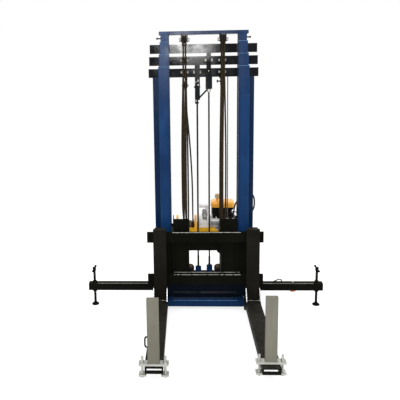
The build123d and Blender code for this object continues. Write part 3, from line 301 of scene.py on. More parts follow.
# Materials of the CAD nodes, most of them with broken edges
LOOKS = {
    blue_dark: ("base_frame",),
    blue: ("fixed_column_left", "fixed_column_right", "section_1_columns", "section_2_columns",
           "section_2_foot", "section_3_columns", "top_beam"),
    bar_black: ("fixed_crossbar", "section_1_crossbar", "section_2_crossbar"),
    fork_black: ("fork_left", "fork_right"),
    black: ("top_brackets", "outrigger_arm_left", "outrigger_arm_right", "jack_screw_left",
            "jack_screw_right", "jack_handle_left", "jack_handle_right"),
    worn_black: ("carriage_frame", "fork_bars"),
    steel: ("traverse_sheave_left", "traverse_sheave_right", "rollers_lower", "rollers_upper"),
    dark_steel: ("head_sheave", "sync_sheave_1", "sync_sheave_2", "top_sheaves"),
    zinc: ("clamp_left", "clamp_right", "caster_fork_left", "caster_fork_right"),
    grey: ("stop_post_left", "stop_post_right"),
    rubber: ("front_wheel_left", "front_wheel_right", "caster_wheel_left", "caster_wheel_right"),
    yellow: ("winch_bed",),
    drum_red: ("winch_drum",),
    cast: ("gearbox", "engine_block"),
    shroud_black: ("engine_shroud",),
    tank_yellow: ("fuel_tank",),
    cream: ("fuel_cap",),
    exhaust: ("silencer",),
    plastic: ("recoil_grip", "throttle_lever"),
    sheath: ("control_cables",),
    rope_wire: ("traverse_rope", "drum_rope", "main_falls", "carriage_ropes_front", "carriage_ropes_rear"),
    rope_dark: ("sync1_front_rope", "sync1_rear_rope", "sync2_front_rope", "sync2_rear_rope"),
}
HARD_EDGES = ("top_sheaves", "recoil_grip", "throttle_lever")
SOFT_MATERIALS = (sheath, rope_wire, rope_dark, rubber)
WELD_DISTANCE = 0.00002
BREAK_WIDTH = 0.0012
BREAK_ANGLE = math.radians(40)
for material, names in LOOKS.items():
    for name in names:
        node = nodes[name]
        node.data.materials.clear()
        node.data.materials.append(material)
        if name in HARD_EDGES or material in SOFT_MATERIALS:
            continue
        weld = node.modifiers.new("weld", "WELD")
        weld.merge_threshold = WELD_DISTANCE
        bevel = node.modifiers.new("bevel", "BEVEL")
        bevel.width = BREAK_WIDTH
        bevel.segments = 2
        bevel.limit_method = "ANGLE"
        bevel.angle_limit = BREAK_ANGLE
        bevel.use_clamp_overlap = True


# Shapes, each given as a pair of vertices and faces
SHARP = math.radians(38)
ROUTE_STEP = 0.008


def arc(centre, u, v, radius, start, end, count):
    """Points of an arc in the plane of u and v, angles in degrees."""
    angles = [math.radians(start + (end - start) * i / count) for i in range(count + 1)]
    return [centre + radius * (math.cos(a) * u + math.sin(a) * v) for a in angles]


def smooth_line(points, step=ROUTE_STEP):
    """Points read about every step from a NURBS spline over a route."""
    longest = max((b - a).length for a, b in zip(points, points[1:]))
    curve = bpy.data.curves.new("route", "CURVE")
    curve.dimensions = "3D"
    spline = curve.splines.new("NURBS")
    spline.points.add(len(points) - 1)
    for target, point in zip(spline.points, points):
        target.co = (*point, 1.0)
    spline.order_u = 3
    spline.use_endpoint_u = True
    spline.resolution_u = max(2, math.ceil(longest / step))
    holder = bpy.data.objects.new("route", curve)
    mesh = bpy.data.meshes.new_from_object(holder)
    line = [v.co.copy() for v in mesh.vertices]
    bpy.data.objects.remove(holder)
    bpy.data.curves.remove(curve)
    bpy.data.meshes.remove(mesh)
    return line


def tube(path, ring):
    """A swept ring with closed ends; ring(i, distance) gives (angle, radius) pairs for each station."""
    verts, faces = [], []
    tangent = (path[1] - path[0]).normalized()
    side = tangent.orthogonal().normalized()
    distance = 0.0
    count = 0
    for i, point in enumerate(path):
        ahead = path[min(i + 1, len(path) - 1)] - path[max(i - 1, 0)]
        if ahead.length > 1e-9:
            side = tangent.rotation_difference(ahead.normalized()) @ side
            tangent = ahead.normalized()
        other = tangent.cross(side)
        if i:
            distance += (point - path[i - 1]).length
        pairs = ring(i, distance)
        count = len(pairs)
        verts += [point + r * (math.cos(a) * side + math.sin(a) * other) for a, r in pairs]
    for i in range(len(path) - 1):
        for j in range(count):
            k = (j + 1) % count
            faces.append((i * count + j, i * count + k, (i + 1) * count + k, (i + 1) * count + j))
    last = (len(path) - 1) * count
    faces.append(tuple(range(count - 1, -1, -1)))
    faces.append(tuple(range(last, last + count)))
    return verts, faces


def plain_ring(radius, count=12):
    """Outline of a round cable."""
    pairs = [(2 * math.pi * j / count, radius) for j in range(count)]
    return lambda i, distance: pairs


def laid_ring(radius, strands=6, lay=0.07):
    """Outline of a laid wire rope that turns along its length."""
    count = strands * 3

    def ring(i, distance):
        twist = 2 * math.pi * distance / lay
        return [(2 * math.pi * j / count + twist, radius * (0.95 + 0.05 * math.cos(2 * math.pi * j / 3)))
                for j in range(count)]
    return ring


def beaded_ring(radius, count=8, waist=0.72):
    """Outline of a weld bead, swelling at every other station."""
    return lambda i, distance: [(2 * math.pi * j / count, radius * (1.0 if i % 2 else waist))
                                for j in range(count)]


def lathe(place, axis, profile, count=20, ring=False, flutes=0, depth=0.0):
    """A turned shape from (height, radius) pairs along axis; flutes cut grooves into the outside."""
    side = axis.orthogonal().normalized()
    other = axis.cross(side)
    verts, faces = [], []
    for height, radius in profile:
        for j in range(count):
            angle = 2 * math.pi * j / count
            r = radius * (1 - depth * (0.5 + 0.5 * math.cos(flutes * angle)))
            verts.append(place + height * axis + r * (math.cos(angle) * side + math.sin(angle) * other))
    rows = len(profile)
    for i in range(rows if ring else rows - 1):
        m = (i + 1) % rows
        for j in range(count):
            k = (j + 1) % count
            faces.append((i * count + j, i * count + k, m * count + k, m * count + j))
    if not ring:
        faces.append(tuple(range(count - 1, -1, -1)))
        faces.append(tuple(range((rows - 1) * count, rows * count)))
    return verts, faces


def hull(points):
    """The convex shape around some points."""
    mesh = bmesh.new()
    for point in points:
        mesh.verts.new(point)
    bmesh.ops.convex_hull(mesh, input=mesh.verts)
    bmesh.ops.dissolve_limit(mesh, angle_limit=0.01, verts=mesh.verts, edges=mesh.edges)
    mesh.verts.index_update()
    shape = [v.co.copy() for v in mesh.verts], [tuple(v.index for v in face.verts) for face in mesh.faces]
    mesh.free()
    return shape


def block(low, high, edge=0.0015):
    """A box with broken edges between two corners."""
    points = []
    for signs in itertools.product((0, 1), repeat=3):
        for kept in range(3):
            points.append([(high[i] if signs[i] else low[i]) if i == kept else
                           (high[i] - edge if signs[i] else low[i] + edge) for i in range(3)])
    return hull(points)


def bolt(place, axis, size):
    """A washer with a chamfered hexagon head on it; size is the radius over the head's corners."""
    seat = 0.25 * size
    washer = ((0, 1.25 * size), (0.22 * size, 1.25 * size), (seat, 1.2 * size))
    head = ((0, size), (0.62 * size, size), (0.8 * size, 0.84 * size))
    return [lathe(place, axis, washer, count=16), lathe(place + seat * axis, axis, head, count=6)]


def bolts(rows):
    """Bolt heads from rows of x, depth, height, axis and size."""
    return [chunk for x, depth, z, axis, size in rows for chunk in bolt(at(x, depth, z), axis, size)]


def threaded(place, axis, radius, length, pitch):
    """A rod with ridged threads."""
    profile = [(0.0, 0.82 * radius)]
    for i in range(int(length / pitch)):
        profile += [(pitch * (i + 0.3), radius), (pitch * (i + 0.8), 0.86 * radius)]
    profile.append((length, 0.8 * radius))
    return lathe(place, axis, profile, count=14)


def bead(points, radius):
    """A weld bead along straight runs."""
    path = [points[0]]
    for a, b in zip(points, points[1:]):
        count = max(2, math.ceil((b - a).length / radius))
        path += [a.lerp(b, (i + 1) / count) for i in range(count)]
    return tube(path, beaded_ring(radius))


def build(name, chunks, material, body=None):
    """One piece from several shapes, riding on a body where one is named."""
    verts, faces = [], []
    for some_verts, some_faces in chunks:
        start = len(verts)
        verts += some_verts
        faces += [tuple(start + i for i in face) for face in some_faces]
    mesh = bpy.data.meshes.new(name)
    mesh.from_pydata(verts, [], faces)
    outward = bmesh.new()
    outward.from_mesh(mesh)
    bmesh.ops.recalc_face_normals(outward, faces=outward.faces)
    outward.to_mesh(mesh)
    outward.free()
    mesh.polygons.foreach_set("use_smooth", [True] * len(mesh.polygons))
    mesh.set_sharp_from_angle(angle=SHARP)
    mesh.materials.append(material)
    piece = bpy.data.objects.new(name, mesh)
    bpy.context.scene.collection.objects.link(piece)
    if body:
        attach(piece, body)
    return piece


# Wire ropes: laid strands in place of the plain rods
ROPE_R = 0.0065
WRAP_STEP = 0.005
TURN_STEP = 0.006


class Sheave:
    """Middle of a rope sheave and the radius that its rope runs on."""

    def __init__(self, x, depth, z, radius):
        self.x, self.depth, self.z, self.radius = x, depth, z, radius
        self.front, self.rear = depth - radius, depth + radius

    def over(self, count=16):
        """Route of the half turn over the top, from the rear fall to the front one."""
        return arc(at(self.x, self.depth, self.z), Y, Z, self.radius, 0, 180, count)


HEAD = Sheave(-0.135, 0.170, 1.700, 0.030)
SYNC_1 = Sheave(-0.047, 0.086, 1.690, 0.026)
SYNC_2 = Sheave(0.037, 0.061, 1.742, 0.031)
LIFT_MIDDLE, LIFT_DEPTH, LIFT_Z, LIFT_R = 0.139, 0.030, 2.030, 0.030
LIFT = [Sheave(s * x, LIFT_DEPTH, LIFT_Z, LIFT_R) for _, s in SIDES for x in (0.131, 0.147)]
TRAVERSE_X, TRAVERSE_Z, TRAVERSE_R = 0.110, 0.262, 0.025

# Heights of the lugs and anchors that the ropes end on
SYNC_1_LUG, SYNC_1_ANCHOR, SYNC_2_LUG = 0.306, 0.080, 0.330
LIFT_ANCHOR, CARRIAGE_LUG = 0.246, 0.470

# How far each carriage rope hangs out of line, in the order of its sheaves
REAR_SWAY = (0.011, -0.007, -0.011, -0.006)
FRONT_SWAY = (-0.012, -0.017, 0.0, 0.012)
SWAY_SHARES = (0.0, 0.0, 0.9, 1.0, 1.0, 1.0, 0.9, 0.7, 0.45, 0.2, 0.0, 0.0)


def rope(route, step=ROUTE_STEP):
    """A laid rope along a route."""
    return tube(smooth_line(route, step), laid_ring(ROPE_R))


def upright(x, depth, z0, z1, sway=0.0):
    """Route of a rope from z0 up to z1 that hangs a little to one side between its ends."""
    rise = (z1 - z0) / (len(SWAY_SHARES) - 1)
    return [at(x + sway * share, depth, z0 + rise * i) for i, share in enumerate(SWAY_SHARES)]


def strand(node, routes, material):
    """Laid ropes in place of a node."""
    piece = build(f"{node}_laid", [rope(route) for route in routes], material)
    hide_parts(node)
    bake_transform(piece)


falls = [upright(s * (TRAVERSE_X + TRAVERSE_R), HEAD.front, TRAVERSE_Z, HEAD.z) for _, s in SIDES]
strand("main_falls", falls, rope_wire)
strand("sync1_front_rope", [upright(SYNC_1.x, SYNC_1.front, SYNC_1_LUG, SYNC_1.z)], rope_dark)
strand("sync1_rear_rope", [upright(SYNC_1.x, SYNC_1.rear, SYNC_1_ANCHOR, SYNC_1.z)], rope_dark)
strand("sync2_front_rope", [upright(SYNC_2.x, SYNC_2.front, SYNC_2_LUG, SYNC_2.z)], rope_dark)
rear = [upright(h.x, h.rear, LIFT_ANCHOR, h.z, sway) for h, sway in zip(LIFT, REAR_SWAY)]
strand("carriage_ropes_rear", rear, rope_wire)
front = [upright(h.x, h.front, CARRIAGE_LUG, h.z, sway) for h, sway in zip(LIFT, FRONT_SWAY)]
strand("carriage_ropes_front", front, rope_wire)

diagonal = [at(x, SYNC_2.rear, z) for x, z in (
    (SYNC_1.x, 1.582), (SYNC_1.x, 1.590), (-0.043, 1.598), (0.031, 1.674), (SYNC_2.x, 1.684),
    (SYNC_2.x, SYNC_2.z))]
strand("sync2_rear_rope", [diagonal], rope_dark)

WRAPS = (("sync1_wrap", [SYNC_1], "section_1"), ("sync2_wrap", [SYNC_2], "section_2"),
         ("carriage_wrap", LIFT, "section_3"))
for name, sheaves, body in WRAPS:
    build(name, [rope(sheave.over(), WRAP_STEP) for sheave in sheaves], rope_dark, body)

left_foot, right_foot = (at(s * TRAVERSE_X, HEAD.front, TRAVERSE_Z) for _, s in SIDES)
under = arc(left_foot, -X, -Z, TRAVERSE_R, 0, 90, 8) + arc(right_foot, -Z, X, TRAVERSE_R, 0, 90, 8)
piece = build("traverse_rope_laid", [rope(under, WRAP_STEP)], rope_wire, "section_1")
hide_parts("traverse_rope")

# Winch rope: the last turn on the drum, the climb to the head sheave and the turn over it
DRUM_X, DRUM_DEPTH, DRUM_Z = -0.0835, 0.385, 0.545
DRUM = at(DRUM_X, DRUM_DEPTH, DRUM_Z)
COIL_R = 0.032
climb = [at(*p) for p in (
    (DRUM_X, DRUM_DEPTH - COIL_R, DRUM_Z), (DRUM_X, DRUM_DEPTH - COIL_R, 0.799), (-0.0905, 0.325, 1.0417),
    (-0.1095, 0.265, 1.3304), (HEAD.x, HEAD.rear, 1.596), (HEAD.x, HEAD.rear, HEAD.z))]
last_turn = arc(DRUM, Y, Z, COIL_R, 180, 500, 32)
winch_rope = [rope(last_turn, TURN_STEP), rope(climb), rope(HEAD.over(count=14), WRAP_STEP)]
piece = build("drum_rope_laid", winch_rope, rope_wire, "base")
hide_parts("drum_rope")

COIL_TURNS = 3.25
COIL_PITCH = 0.0132
COIL_STEPS = 24
coil = []
for i in range(int(COIL_STEPS * COIL_TURNS) + 1):
    turn = i / COIL_STEPS
    angle = 2 * math.pi * turn
    coil.append(DRUM - COIL_PITCH * (turn + 1) * X + COIL_R * (math.cos(angle) * Y + math.sin(angle) * Z))
build("drum_coil", [rope(coil, TURN_STEP)], rope_pale, "winch_drum")


# Rope ends: pressed sleeves with a lock nut where a rope meets a lug or an anchor
SLEEVE_R = 0.0078
SLEEVE_LENGTH = 0.056
NUT_R = 0.0112


def ferrule(place, length=SLEEVE_LENGTH):
    """A sleeve with rounded ends and the nut round its foot."""
    sleeve = ((0, 0.0072), (0.002, SLEEVE_R), (length - 0.006, SLEEVE_R), (length, 0.0068))
    nut = ((0, NUT_R), (0.007, NUT_R), (0.009, 0.0096))
    return [lathe(place, Z, sleeve, count=18), lathe(place, Z, nut, count=6)]


ENDS = {
    "section_2": ferrule(at(SYNC_1.x, SYNC_1.front, SYNC_1_LUG), 0.092),
    "section_3": ferrule(at(SYNC_2.x, SYNC_2.front, SYNC_2_LUG), 0.070),
    "base": ferrule(at(SYNC_1.x, SYNC_1.rear, SYNC_1_ANCHOR)),
    "carriage": [],
}
for sheave in LIFT:
    ENDS["section_2"] += ferrule(at(sheave.x, sheave.rear, LIFT_ANCHOR))
    ENDS["carriage"] += ferrule(at(sheave.x, sheave.front, CARRIAGE_LUG))
for body, sleeves in ENDS.items():
    build(f"rope_ends_{body}", sleeves, rope_dark, body)

# Cables: sheathed throttle cable in a loose bow and the thin limit cable, each clipped to the frame
THROTTLE_R = 0.0058
LIMIT_X, LIMIT_R, LIMIT_STEP = 0.186, 0.004, 0.012
bow = [at(*p) for p in (
    (0.250, 0.355, 0.596), (0.250, 0.355, 0.700), (0.288, 0.333, 0.778), (0.332, 0.288, 0.842),
    (0.398, 0.224, 0.840), (0.403, 0.212, 0.748), (0.382, 0.196, 0.708), (0.357, 0.181, 0.692),
    (0.349, 0.178, 0.660))]
limit = [at(LIMIT_X, depth, z) for depth, z in (
    (0.176, 1.782), (0.176, 0.700), (0.176, 0.614), (0.200, 0.564), (0.256, 0.540), (0.256, 0.504))]
piece = build("throttle_cable", [tube(smooth_line(bow), plain_ring(THROTTLE_R))], sheath, "base")
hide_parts("control_cables")
build("limit_cable", [tube(smooth_line(limit, LIMIT_STEP), plain_ring(LIMIT_R))], grey_cable, "base")
CLIPS = (((0.338, 0.170, 0.640), (0.360, 0.186, 0.660)), ((0.178, 0.170, 1.766), (0.194, 0.182, 1.792)),
         ((0.176, 0.246, 0.490), (0.196, 0.266, 0.504)))
build("cable_clips", [block(at(*low), at(*high), edge=0.002) for low, high in CLIPS], plastic, "base")


# Fasteners, one piece for each body
HANGER_HALF, BRACKET_HALF = 0.01685, 0.02485
HANGER_BOLT, BRACKET_BOLT, HEAD_BOLT, BED_BOLT = 0.0125, 0.0130, 0.0085, 0.0080
LOW_BAR_Z, HIGH_BAR_Z, BED_TOP = 1.800, 1.885, 0.500


def axle_ends(x, depth, z, half, size):
    """Rows of the two bolt heads on the ends of an axle."""
    return [(x - half, depth, z, -X, size), (x + half, depth, z, X, size)]


bed_places = ((-0.222, 0.345), (-0.222, 0.545), (-0.050, 0.345), (0.050, 0.545))
bed_rows = [(x, depth, BED_TOP, Z, BED_BOLT) for x, depth in bed_places]
FASTENERS = {
    "section_1": axle_ends(SYNC_1.x, 0.080, LOW_BAR_Z, HANGER_HALF, HANGER_BOLT),
    "section_2": axle_ends(SYNC_2.x, 0.055, HIGH_BAR_Z, HANGER_HALF, HANGER_BOLT),
    "section_3": [row for _, s in SIDES
                  for row in axle_ends(s * LIFT_MIDDLE, LIFT_DEPTH, LIFT_Z, BRACKET_HALF, BRACKET_BOLT)],
    "base": axle_ends(HEAD.x, HEAD.depth, HEAD.z, HANGER_HALF, HEAD_BOLT) + bed_rows,
}
for body, rows in FASTENERS.items():
    build(f"fasteners_{body}", bolts(rows), zinc, body)


# Mast: ball-ended pins in the top beam, painted highlights on the channel tops, pins in the hanger slots and
# a guide bush
FINE_BREAK, FAINT_BREAK = 0.0004, 0.0003
PIN_X, PIN_DEPTH, PIN_Z, PIN_R, PIN_LENGTH = 0.3115, 0.060, 2.044, 0.0046, 0.0185
BALL_R, BALL_START = 0.0076, 0.0174


def ball(start, radius, steps=8):
    """Profile of a ball whose near pole is at height start."""
    angles = [math.pi * i / steps for i in range(1, steps)]
    return [(start + radius * (1 - math.cos(a)), radius * math.sin(a)) for a in angles]


pin = [(0, PIN_R), (PIN_LENGTH, PIN_R)] + ball(BALL_START, BALL_R)
pins = [lathe(at(s * PIN_X, PIN_DEPTH, PIN_Z), s * X, pin) for _, s in SIDES]
build("beam_pins", pins, plastic, "section_3")

web = block(at(-0.0635, 0.0455, 1.598), at(-0.0300, 0.0520, 1.690), FINE_BREAK)
build("hanger_web", [web], black, "section_1")

# Keeper plates each side of the carriage ropes: body, depth of the bar that they stand on, and height
KEEPERS = (("section_1", 0.1135, HIGH_BAR_Z), ("base", 0.120, LOW_BAR_Z))
KEEPER_OFFSET, KEEPER_HALF, KEEPER_RISE, KEEPER_REACH = 0.016, 0.002, 0.020, 0.030
KEEPER_NUT, NUT_REACH = 0.0105, 0.016
for body, bar, z in KEEPERS:
    plates, nuts = [], []
    for (_, s), side in itertools.product(SIDES, (-1, 1)):
        x = s * LIFT_MIDDLE + side * KEEPER_OFFSET
        low = at(x - KEEPER_HALF, bar - KEEPER_REACH, z - KEEPER_RISE)
        high = at(x + KEEPER_HALF, bar, z + KEEPER_RISE)
        plates.append(block(low, high, edge=0.0008))
        nuts += bolt(at(x + side * KEEPER_HALF, bar - NUT_REACH, z), side * X, KEEPER_NUT)
    build(f"keeper_plates_{body}", plates, black, body)
    build(f"keeper_nuts_{body}", nuts, zinc, body)

# Painted highlights on the channel tops: body, height, depth of the face and outer edge
TOPS = (("base", 1.842, 0.0, 0.3275), ("section_1", 1.930, 0.0065, 0.3215),
        ("section_2", 2.018, 0.013, 0.315))
CHANNEL_INNER = 0.252
STRIP_HALF, STRIP_FOOT, STRIP_TOP = 0.0004, 0.0032, 0.0006
for body, z, depth, outer in TOPS:
    edges = []
    for _, s in SIDES:
        x0, x1 = span(s, CHANNEL_INNER, outer)
        low = at(x0, depth - STRIP_HALF, z - STRIP_FOOT)
        edges.append(block(low, at(x1, depth + STRIP_HALF, z - STRIP_TOP), FAINT_BREAK))
    build(f"channel_tops_{body}", edges, blue_highlight, body)

# Pins in the hanger slots: body, x, depth of the face, heights and radius
OVALS = (("section_1", -0.041, 0.040, (1.706, 1.740), 0.0056), ("section_2", 0.037, 0.035, (1.806,), 0.0041))
for body, x, depth, heights, radius in OVALS:
    profile = ((0, radius), (0.005, radius), (0.0065, 0.7 * radius))
    pegs = [lathe(at(x, depth + 0.004, z), -Y, profile, count=14) for z in heights]
    build(f"hanger_pegs_{body}", pegs, zinc, body)

BUSH_BORE, BUSH_R, BUSH_FLANGE = 0.0085, 0.0125, 0.0150
bush = ((0, BUSH_BORE), (0, BUSH_R), (0.018, BUSH_R), (0.018, BUSH_FLANGE), (0.024, BUSH_FLANGE),
        (0.024, BUSH_BORE))
BUSH = at(SYNC_2.x, SYNC_2.front, 1.655)
build("guide_bush", [lathe(BUSH, Z, bush, ring=True)], zinc, "section_2")

# Stops: studs with threads, a wire loop on the left post and weld beads round the feet of the posts
WELD_R = 0.0022
STUD_X, STUD_Y, STUD_Z = 0.068, 0.0225, 0.1393
STUD_R, STUD_LENGTH, STUD_PITCH = 0.0074, 0.0255, 0.003
POST_HALF, POST_Y, POST_Z, POST_THICK = 0.035, 0.008, 0.1283, 0.03
FOOT_CORNERS = ((-1, 0), (1, 0), (1, POST_THICK), (-1, POST_THICK), (-1, 0))
STOPS = {"left": (-0.335, -0.8175), "right": (0.350, -0.7875)}  # x of the post, y of its clamp's front edge
for name, (x, front) in STOPS.items():
    studs = [Vector((x + side * STUD_X, front + STUD_Y, STUD_Z)) for side in (-1, 1)]
    threads = [threaded(stud, Z, STUD_R, STUD_LENGTH, STUD_PITCH) for stud in studs]
    build(f"stud_threads_{name}", threads, zinc, f"stop_{name}")
    foot = [Vector((x + side * POST_HALF, front + POST_Y + dy, POST_Z)) for side, dy in FOOT_CORNERS]
    build(f"post_weld_{name}", [bead(foot, WELD_R)], grey, f"stop_{name}")
LOOP_Y, LOOP_R, LOOP_STEP = -0.7945, 0.0048, 0.004
hoop = [Vector((x, LOOP_Y, z)) for x, z in (
    (-0.370, 0.222), (-0.377, 0.222), (-0.384, 0.230), (-0.384, 0.254), (-0.384, 0.278), (-0.377, 0.286),
    (-0.370, 0.286))]
build("post_loop", [tube(smooth_line(hoop, LOOP_STEP), plain_ring(LOOP_R, count=10))], black, "stop_left")

# Forks: bare steel where the heel slopes rub, and welds along the cheeks
HEELS = {"fork_left": (-0.389, -0.281), "fork_right": (0.296, 0.404)}  # left and right edge of the blade
HEEL_SLOPE = ((0.0560, 0.2135), (0.0105, 0.1287))  # y and z of the ends
CHEEK_WELD = ((0.050, 0.196), (0.012, 0.125))  # y and z of the ends
for body, edges in HEELS.items():
    rubs, seams = [], []
    for x, s in zip(edges, (1, -1)):
        rubs.append(hull([Vector((x + s * dx, y + lift, z)) for dx in (0.001, 0.007)
                          for y, z in HEEL_SLOPE for lift in (-0.0008, 0.0004)]))
        seams.append(bead([Vector((x + s * 0.008, y, z)) for y, z in CHEEK_WELD], WELD_R))
    rubs.append(bead([Vector((x, 0.0148, 0.1367)) for x in (edges[0] + 0.006, edges[1] - 0.006)], 0.0009))
    build(f"{body}_heel_rubs", rubs, bare, body)
    build(f"{body}_seams", seams, black, body)

# Outriggers: threaded jack screws with turned feet, and the lens-shaped cap on the right arm's stop bolt
JACK_X, ARM_DEPTH, ARM_FACE, ARM_WELD_X = 0.861, 0.045, 0.0205, 0.828
JACK_FOOT = [(0.0, 0.0265), (0.0015, 0.028), (0.006, 0.028), (0.010, 0.022), (0.014, 0.0145),
             (0.020, 0.0125)]
THREAD_START, THREAD_PITCH, THREAD_COUNT = 0.022, 0.004, 64
THREAD_R, ROOT_R = 0.0099, 0.0086
JACK_TOP = (0.280, 0.0084)
jack = list(JACK_FOOT)
for i in range(THREAD_COUNT):
    ridge = THREAD_START + THREAD_PITCH * i
    jack += [(ridge, THREAD_R), (ridge + THREAD_PITCH / 2, ROOT_R)]
jack.append(JACK_TOP)
for name, s in SIDES:
    screw = lathe(at(s * JACK_X, ARM_DEPTH, 0.0), Z, jack, count=24)
    piece = build(f"jack_thread_{name}", [screw], black, f"jack_screw_{name}")
    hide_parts(f"jack_screw_{name}")
    welds = [bead([at(s * ARM_WELD_X, ARM_FACE, z) for z in (0.128, 0.178)], 0.002)]
    build(f"arm_welds_{name}", welds, black, f"outrigger_arm_{name}")
STOP_X, STOP_FOOT, STOP_TOP, STOP_BOLT = 0.678, 0.1252, 0.185, 0.0085
LENS = ((0, 0.0268), (0.006, 0.0268), (0.010, 0.0235), (0.015, 0.0150), (0.0175, 0.005))
lens = lathe(at(STOP_X, ARM_DEPTH, STOP_FOOT), -Z, LENS, count=28)
build("stop_lens", [lens], orange, "outrigger_arm_right")
build("stop_washer", bolt(at(STOP_X, ARM_DEPTH, STOP_TOP), Z, STOP_BOLT), zinc, "outrigger_arm_right")

# Engine: fins with painted shade in the gaps, filler cap, plug and its lead, fuel hose, silencer ribs and fan
# louvres
FIN_FOOT, FIN_PITCH, FIN_COUNT = 0.516, 0.0115, 7
FIN_Z = [FIN_FOOT + FIN_PITCH * i for i in range(FIN_COUNT)]
# Dark blocks between the fins stand for the shade in the gaps
gap_shade = [block(at(0.0668, 0.3313, low + 0.0042), at(0.1352, 0.374, high + 0.0002), FINE_BREAK)
        for low, high in zip(FIN_Z, FIN_Z[1:])]
build("fin_gap_shade", gap_shade, shroud_black, "base")
fins = [block(at(0.0655, 0.3315, z - 0.0003), at(0.1365, 0.372, z + 0.0053), BREAK_WIDTH) for z in FIN_Z]
build("fin_edges", fins, cast_bright, "base")

FILLER = ((0, 0.0165), (0.004, 0.0205), (0.028, 0.0205), (0.034, 0.0175), (0.038, 0.012), (0.040, 0.006))
cap = lathe(at(0.122, 0.430, 0.758), Z, FILLER, count=60, flutes=15, depth=0.06)
piece = build("fluted_cap", [cap], cream, "fuel_cap")
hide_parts("fuel_cap")

PLUG = ((0, 0.010), (0.006, 0.010), (0.007, 0.0055), (0.024, 0.005), (0.030, 0.004))
build("spark_plug", [lathe(at(0.110, 0.365, 0.588), Z, PLUG, count=14)], ceramic, "base")
HOSE_STEP = 0.006
lead = [at(*p) for p in (
    (0.110, 0.365, 0.613), (0.110, 0.360, 0.650), (0.130, 0.352, 0.668), (0.160, 0.372, 0.672),
    (0.170, 0.400, 0.668))]
hose = [at(*p) for p in (
    (0.196, 0.392, 0.662), (0.204, 0.352, 0.655), (0.245, 0.340, 0.668), (0.286, 0.340, 0.659),
    (0.286, 0.352, 0.610), (0.262, 0.352, 0.590))]
hoses = [tube(smooth_line(line, HOSE_STEP), plain_ring(radius, count=10))
         for line, radius in ((lead, 0.0035), (hose, 0.0042))]
build("engine_hoses", hoses, sheath, "base")
build("hose_block", [block(at(0.240, 0.331, 0.596), at(0.276, 0.345, 0.614), edge=0.002)], zinc, "base")

RIB_X, RIB_WIDTH, RIB_PITCH, RIB_COUNT = 0.092, 0.006, 0.022, 6
rib_x = [RIB_X + RIB_PITCH * i for i in range(RIB_COUNT)]
ribs = [block(at(x, 0.5365, 0.567), at(x + RIB_WIDTH, 0.5975, 0.6505)) for x in rib_x]
build("silencer_ribs", ribs, exhaust, "base")
FAN = at(0.2605, 0.455, 0.566)
LOUVRE_RISE, LOUVRE_WIDTH = 0.0022, 0.004
louvres = []
for r in (0.022, 0.030, 0.038, 0.046):
    profile = ((0, r), (LOUVRE_RISE, r), (LOUVRE_RISE, r + LOUVRE_WIDTH), (0, r + LOUVRE_WIDTH))
    louvres.append(lathe(FAN, X, profile, count=36, ring=True))
build("fan_louvres", louvres, shroud_black, "base")

# Winch: gearbox cover, bell bolts, oil cap, clutch flange and bearing rings
COVER_FACE, COVER_BOLT = 0.3492, 0.0045
cover = block(at(-0.024, COVER_FACE, 0.512), at(0.049, 0.3525, 0.566))
build("gearbox_cover", [cover], cast, "base")
BELL_X, BELL_DEPTH, BELL_Z, BELL_R = 0.0575, 0.430, 0.612, 0.058
BELL_BOLT, BELL_COUNT = 0.0042, 8
cover_bolts = [(x, COVER_FACE, z, -Y, COVER_BOLT) for x in (-0.018, 0.043) for z in (0.518, 0.560)]
bell_bolts = [(BELL_X, BELL_DEPTH + BELL_R * math.cos(a), BELL_Z + BELL_R * math.sin(a), X, BELL_BOLT)
              for a in (2 * math.pi * i / BELL_COUNT for i in range(BELL_COUNT))]
build("engine_bolts", bolts(cover_bolts + bell_bolts), zinc, "base")
OIL_CAP = ((0, 0.013), (0.003, 0.0165), (0.010, 0.0165), (0.013, 0.013))
oil_cap = lathe(at(-0.0156, 0.400, 0.702), -X, OIL_CAP, count=40, flutes=10, depth=0.08)
build("oil_cap", [oil_cap], cast, "base")
FLANGE = ((0, 0.046), (0.004, 0.056), (0.010, 0.060), (0.018, 0.060), (0.019, 0.057), (0.022, 0.057),
          (0.023, 0.060), (0.031, 0.060), (0.037, 0.054), (0.040, 0.044))
build("clutch_flange", [lathe(at(-0.006, 0.402, BELL_Z), X, FLANGE, count=48)], clutch_grey, "base")
BEARING_BORE, BEARING_R = 0.0146, 0.024
bearing = ((0, BEARING_BORE), (0, BEARING_R), (0.004, BEARING_R), (0.006, 0.021), (0.006, BEARING_BORE))
rings = [lathe(at(x, DRUM_DEPTH, DRUM_Z), axis, bearing, count=24, ring=True)
         for x, axis in ((-0.2200, -X), (-0.0520, X))]
build("bearing_rings", rings, cast, "base")

# Starter cord, which stretches from the shroud to its grip
CORD_START, CORD_MIDDLE, CORD_END = 0.250, 0.258, 0.266
CORD_DEPTH, CORD_Z, CORD_R, CORD_STEP = 0.425, 0.588, 0.003, 0.001
cord_line = [at(x, CORD_DEPTH, CORD_Z) for x in (CORD_START, CORD_MIDDLE, CORD_END)]
cord = tube(smooth_line(cord_line, CORD_STEP), plain_ring(CORD_R, count=8))
piece = build("starter_cord", [cord], sheath)
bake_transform(piece)


# Wheels: grooved tyres in place of the plain rollers, with hub rings on both sides
WHEEL_BORE = 0.0092
GROOVE_COUNT = 5


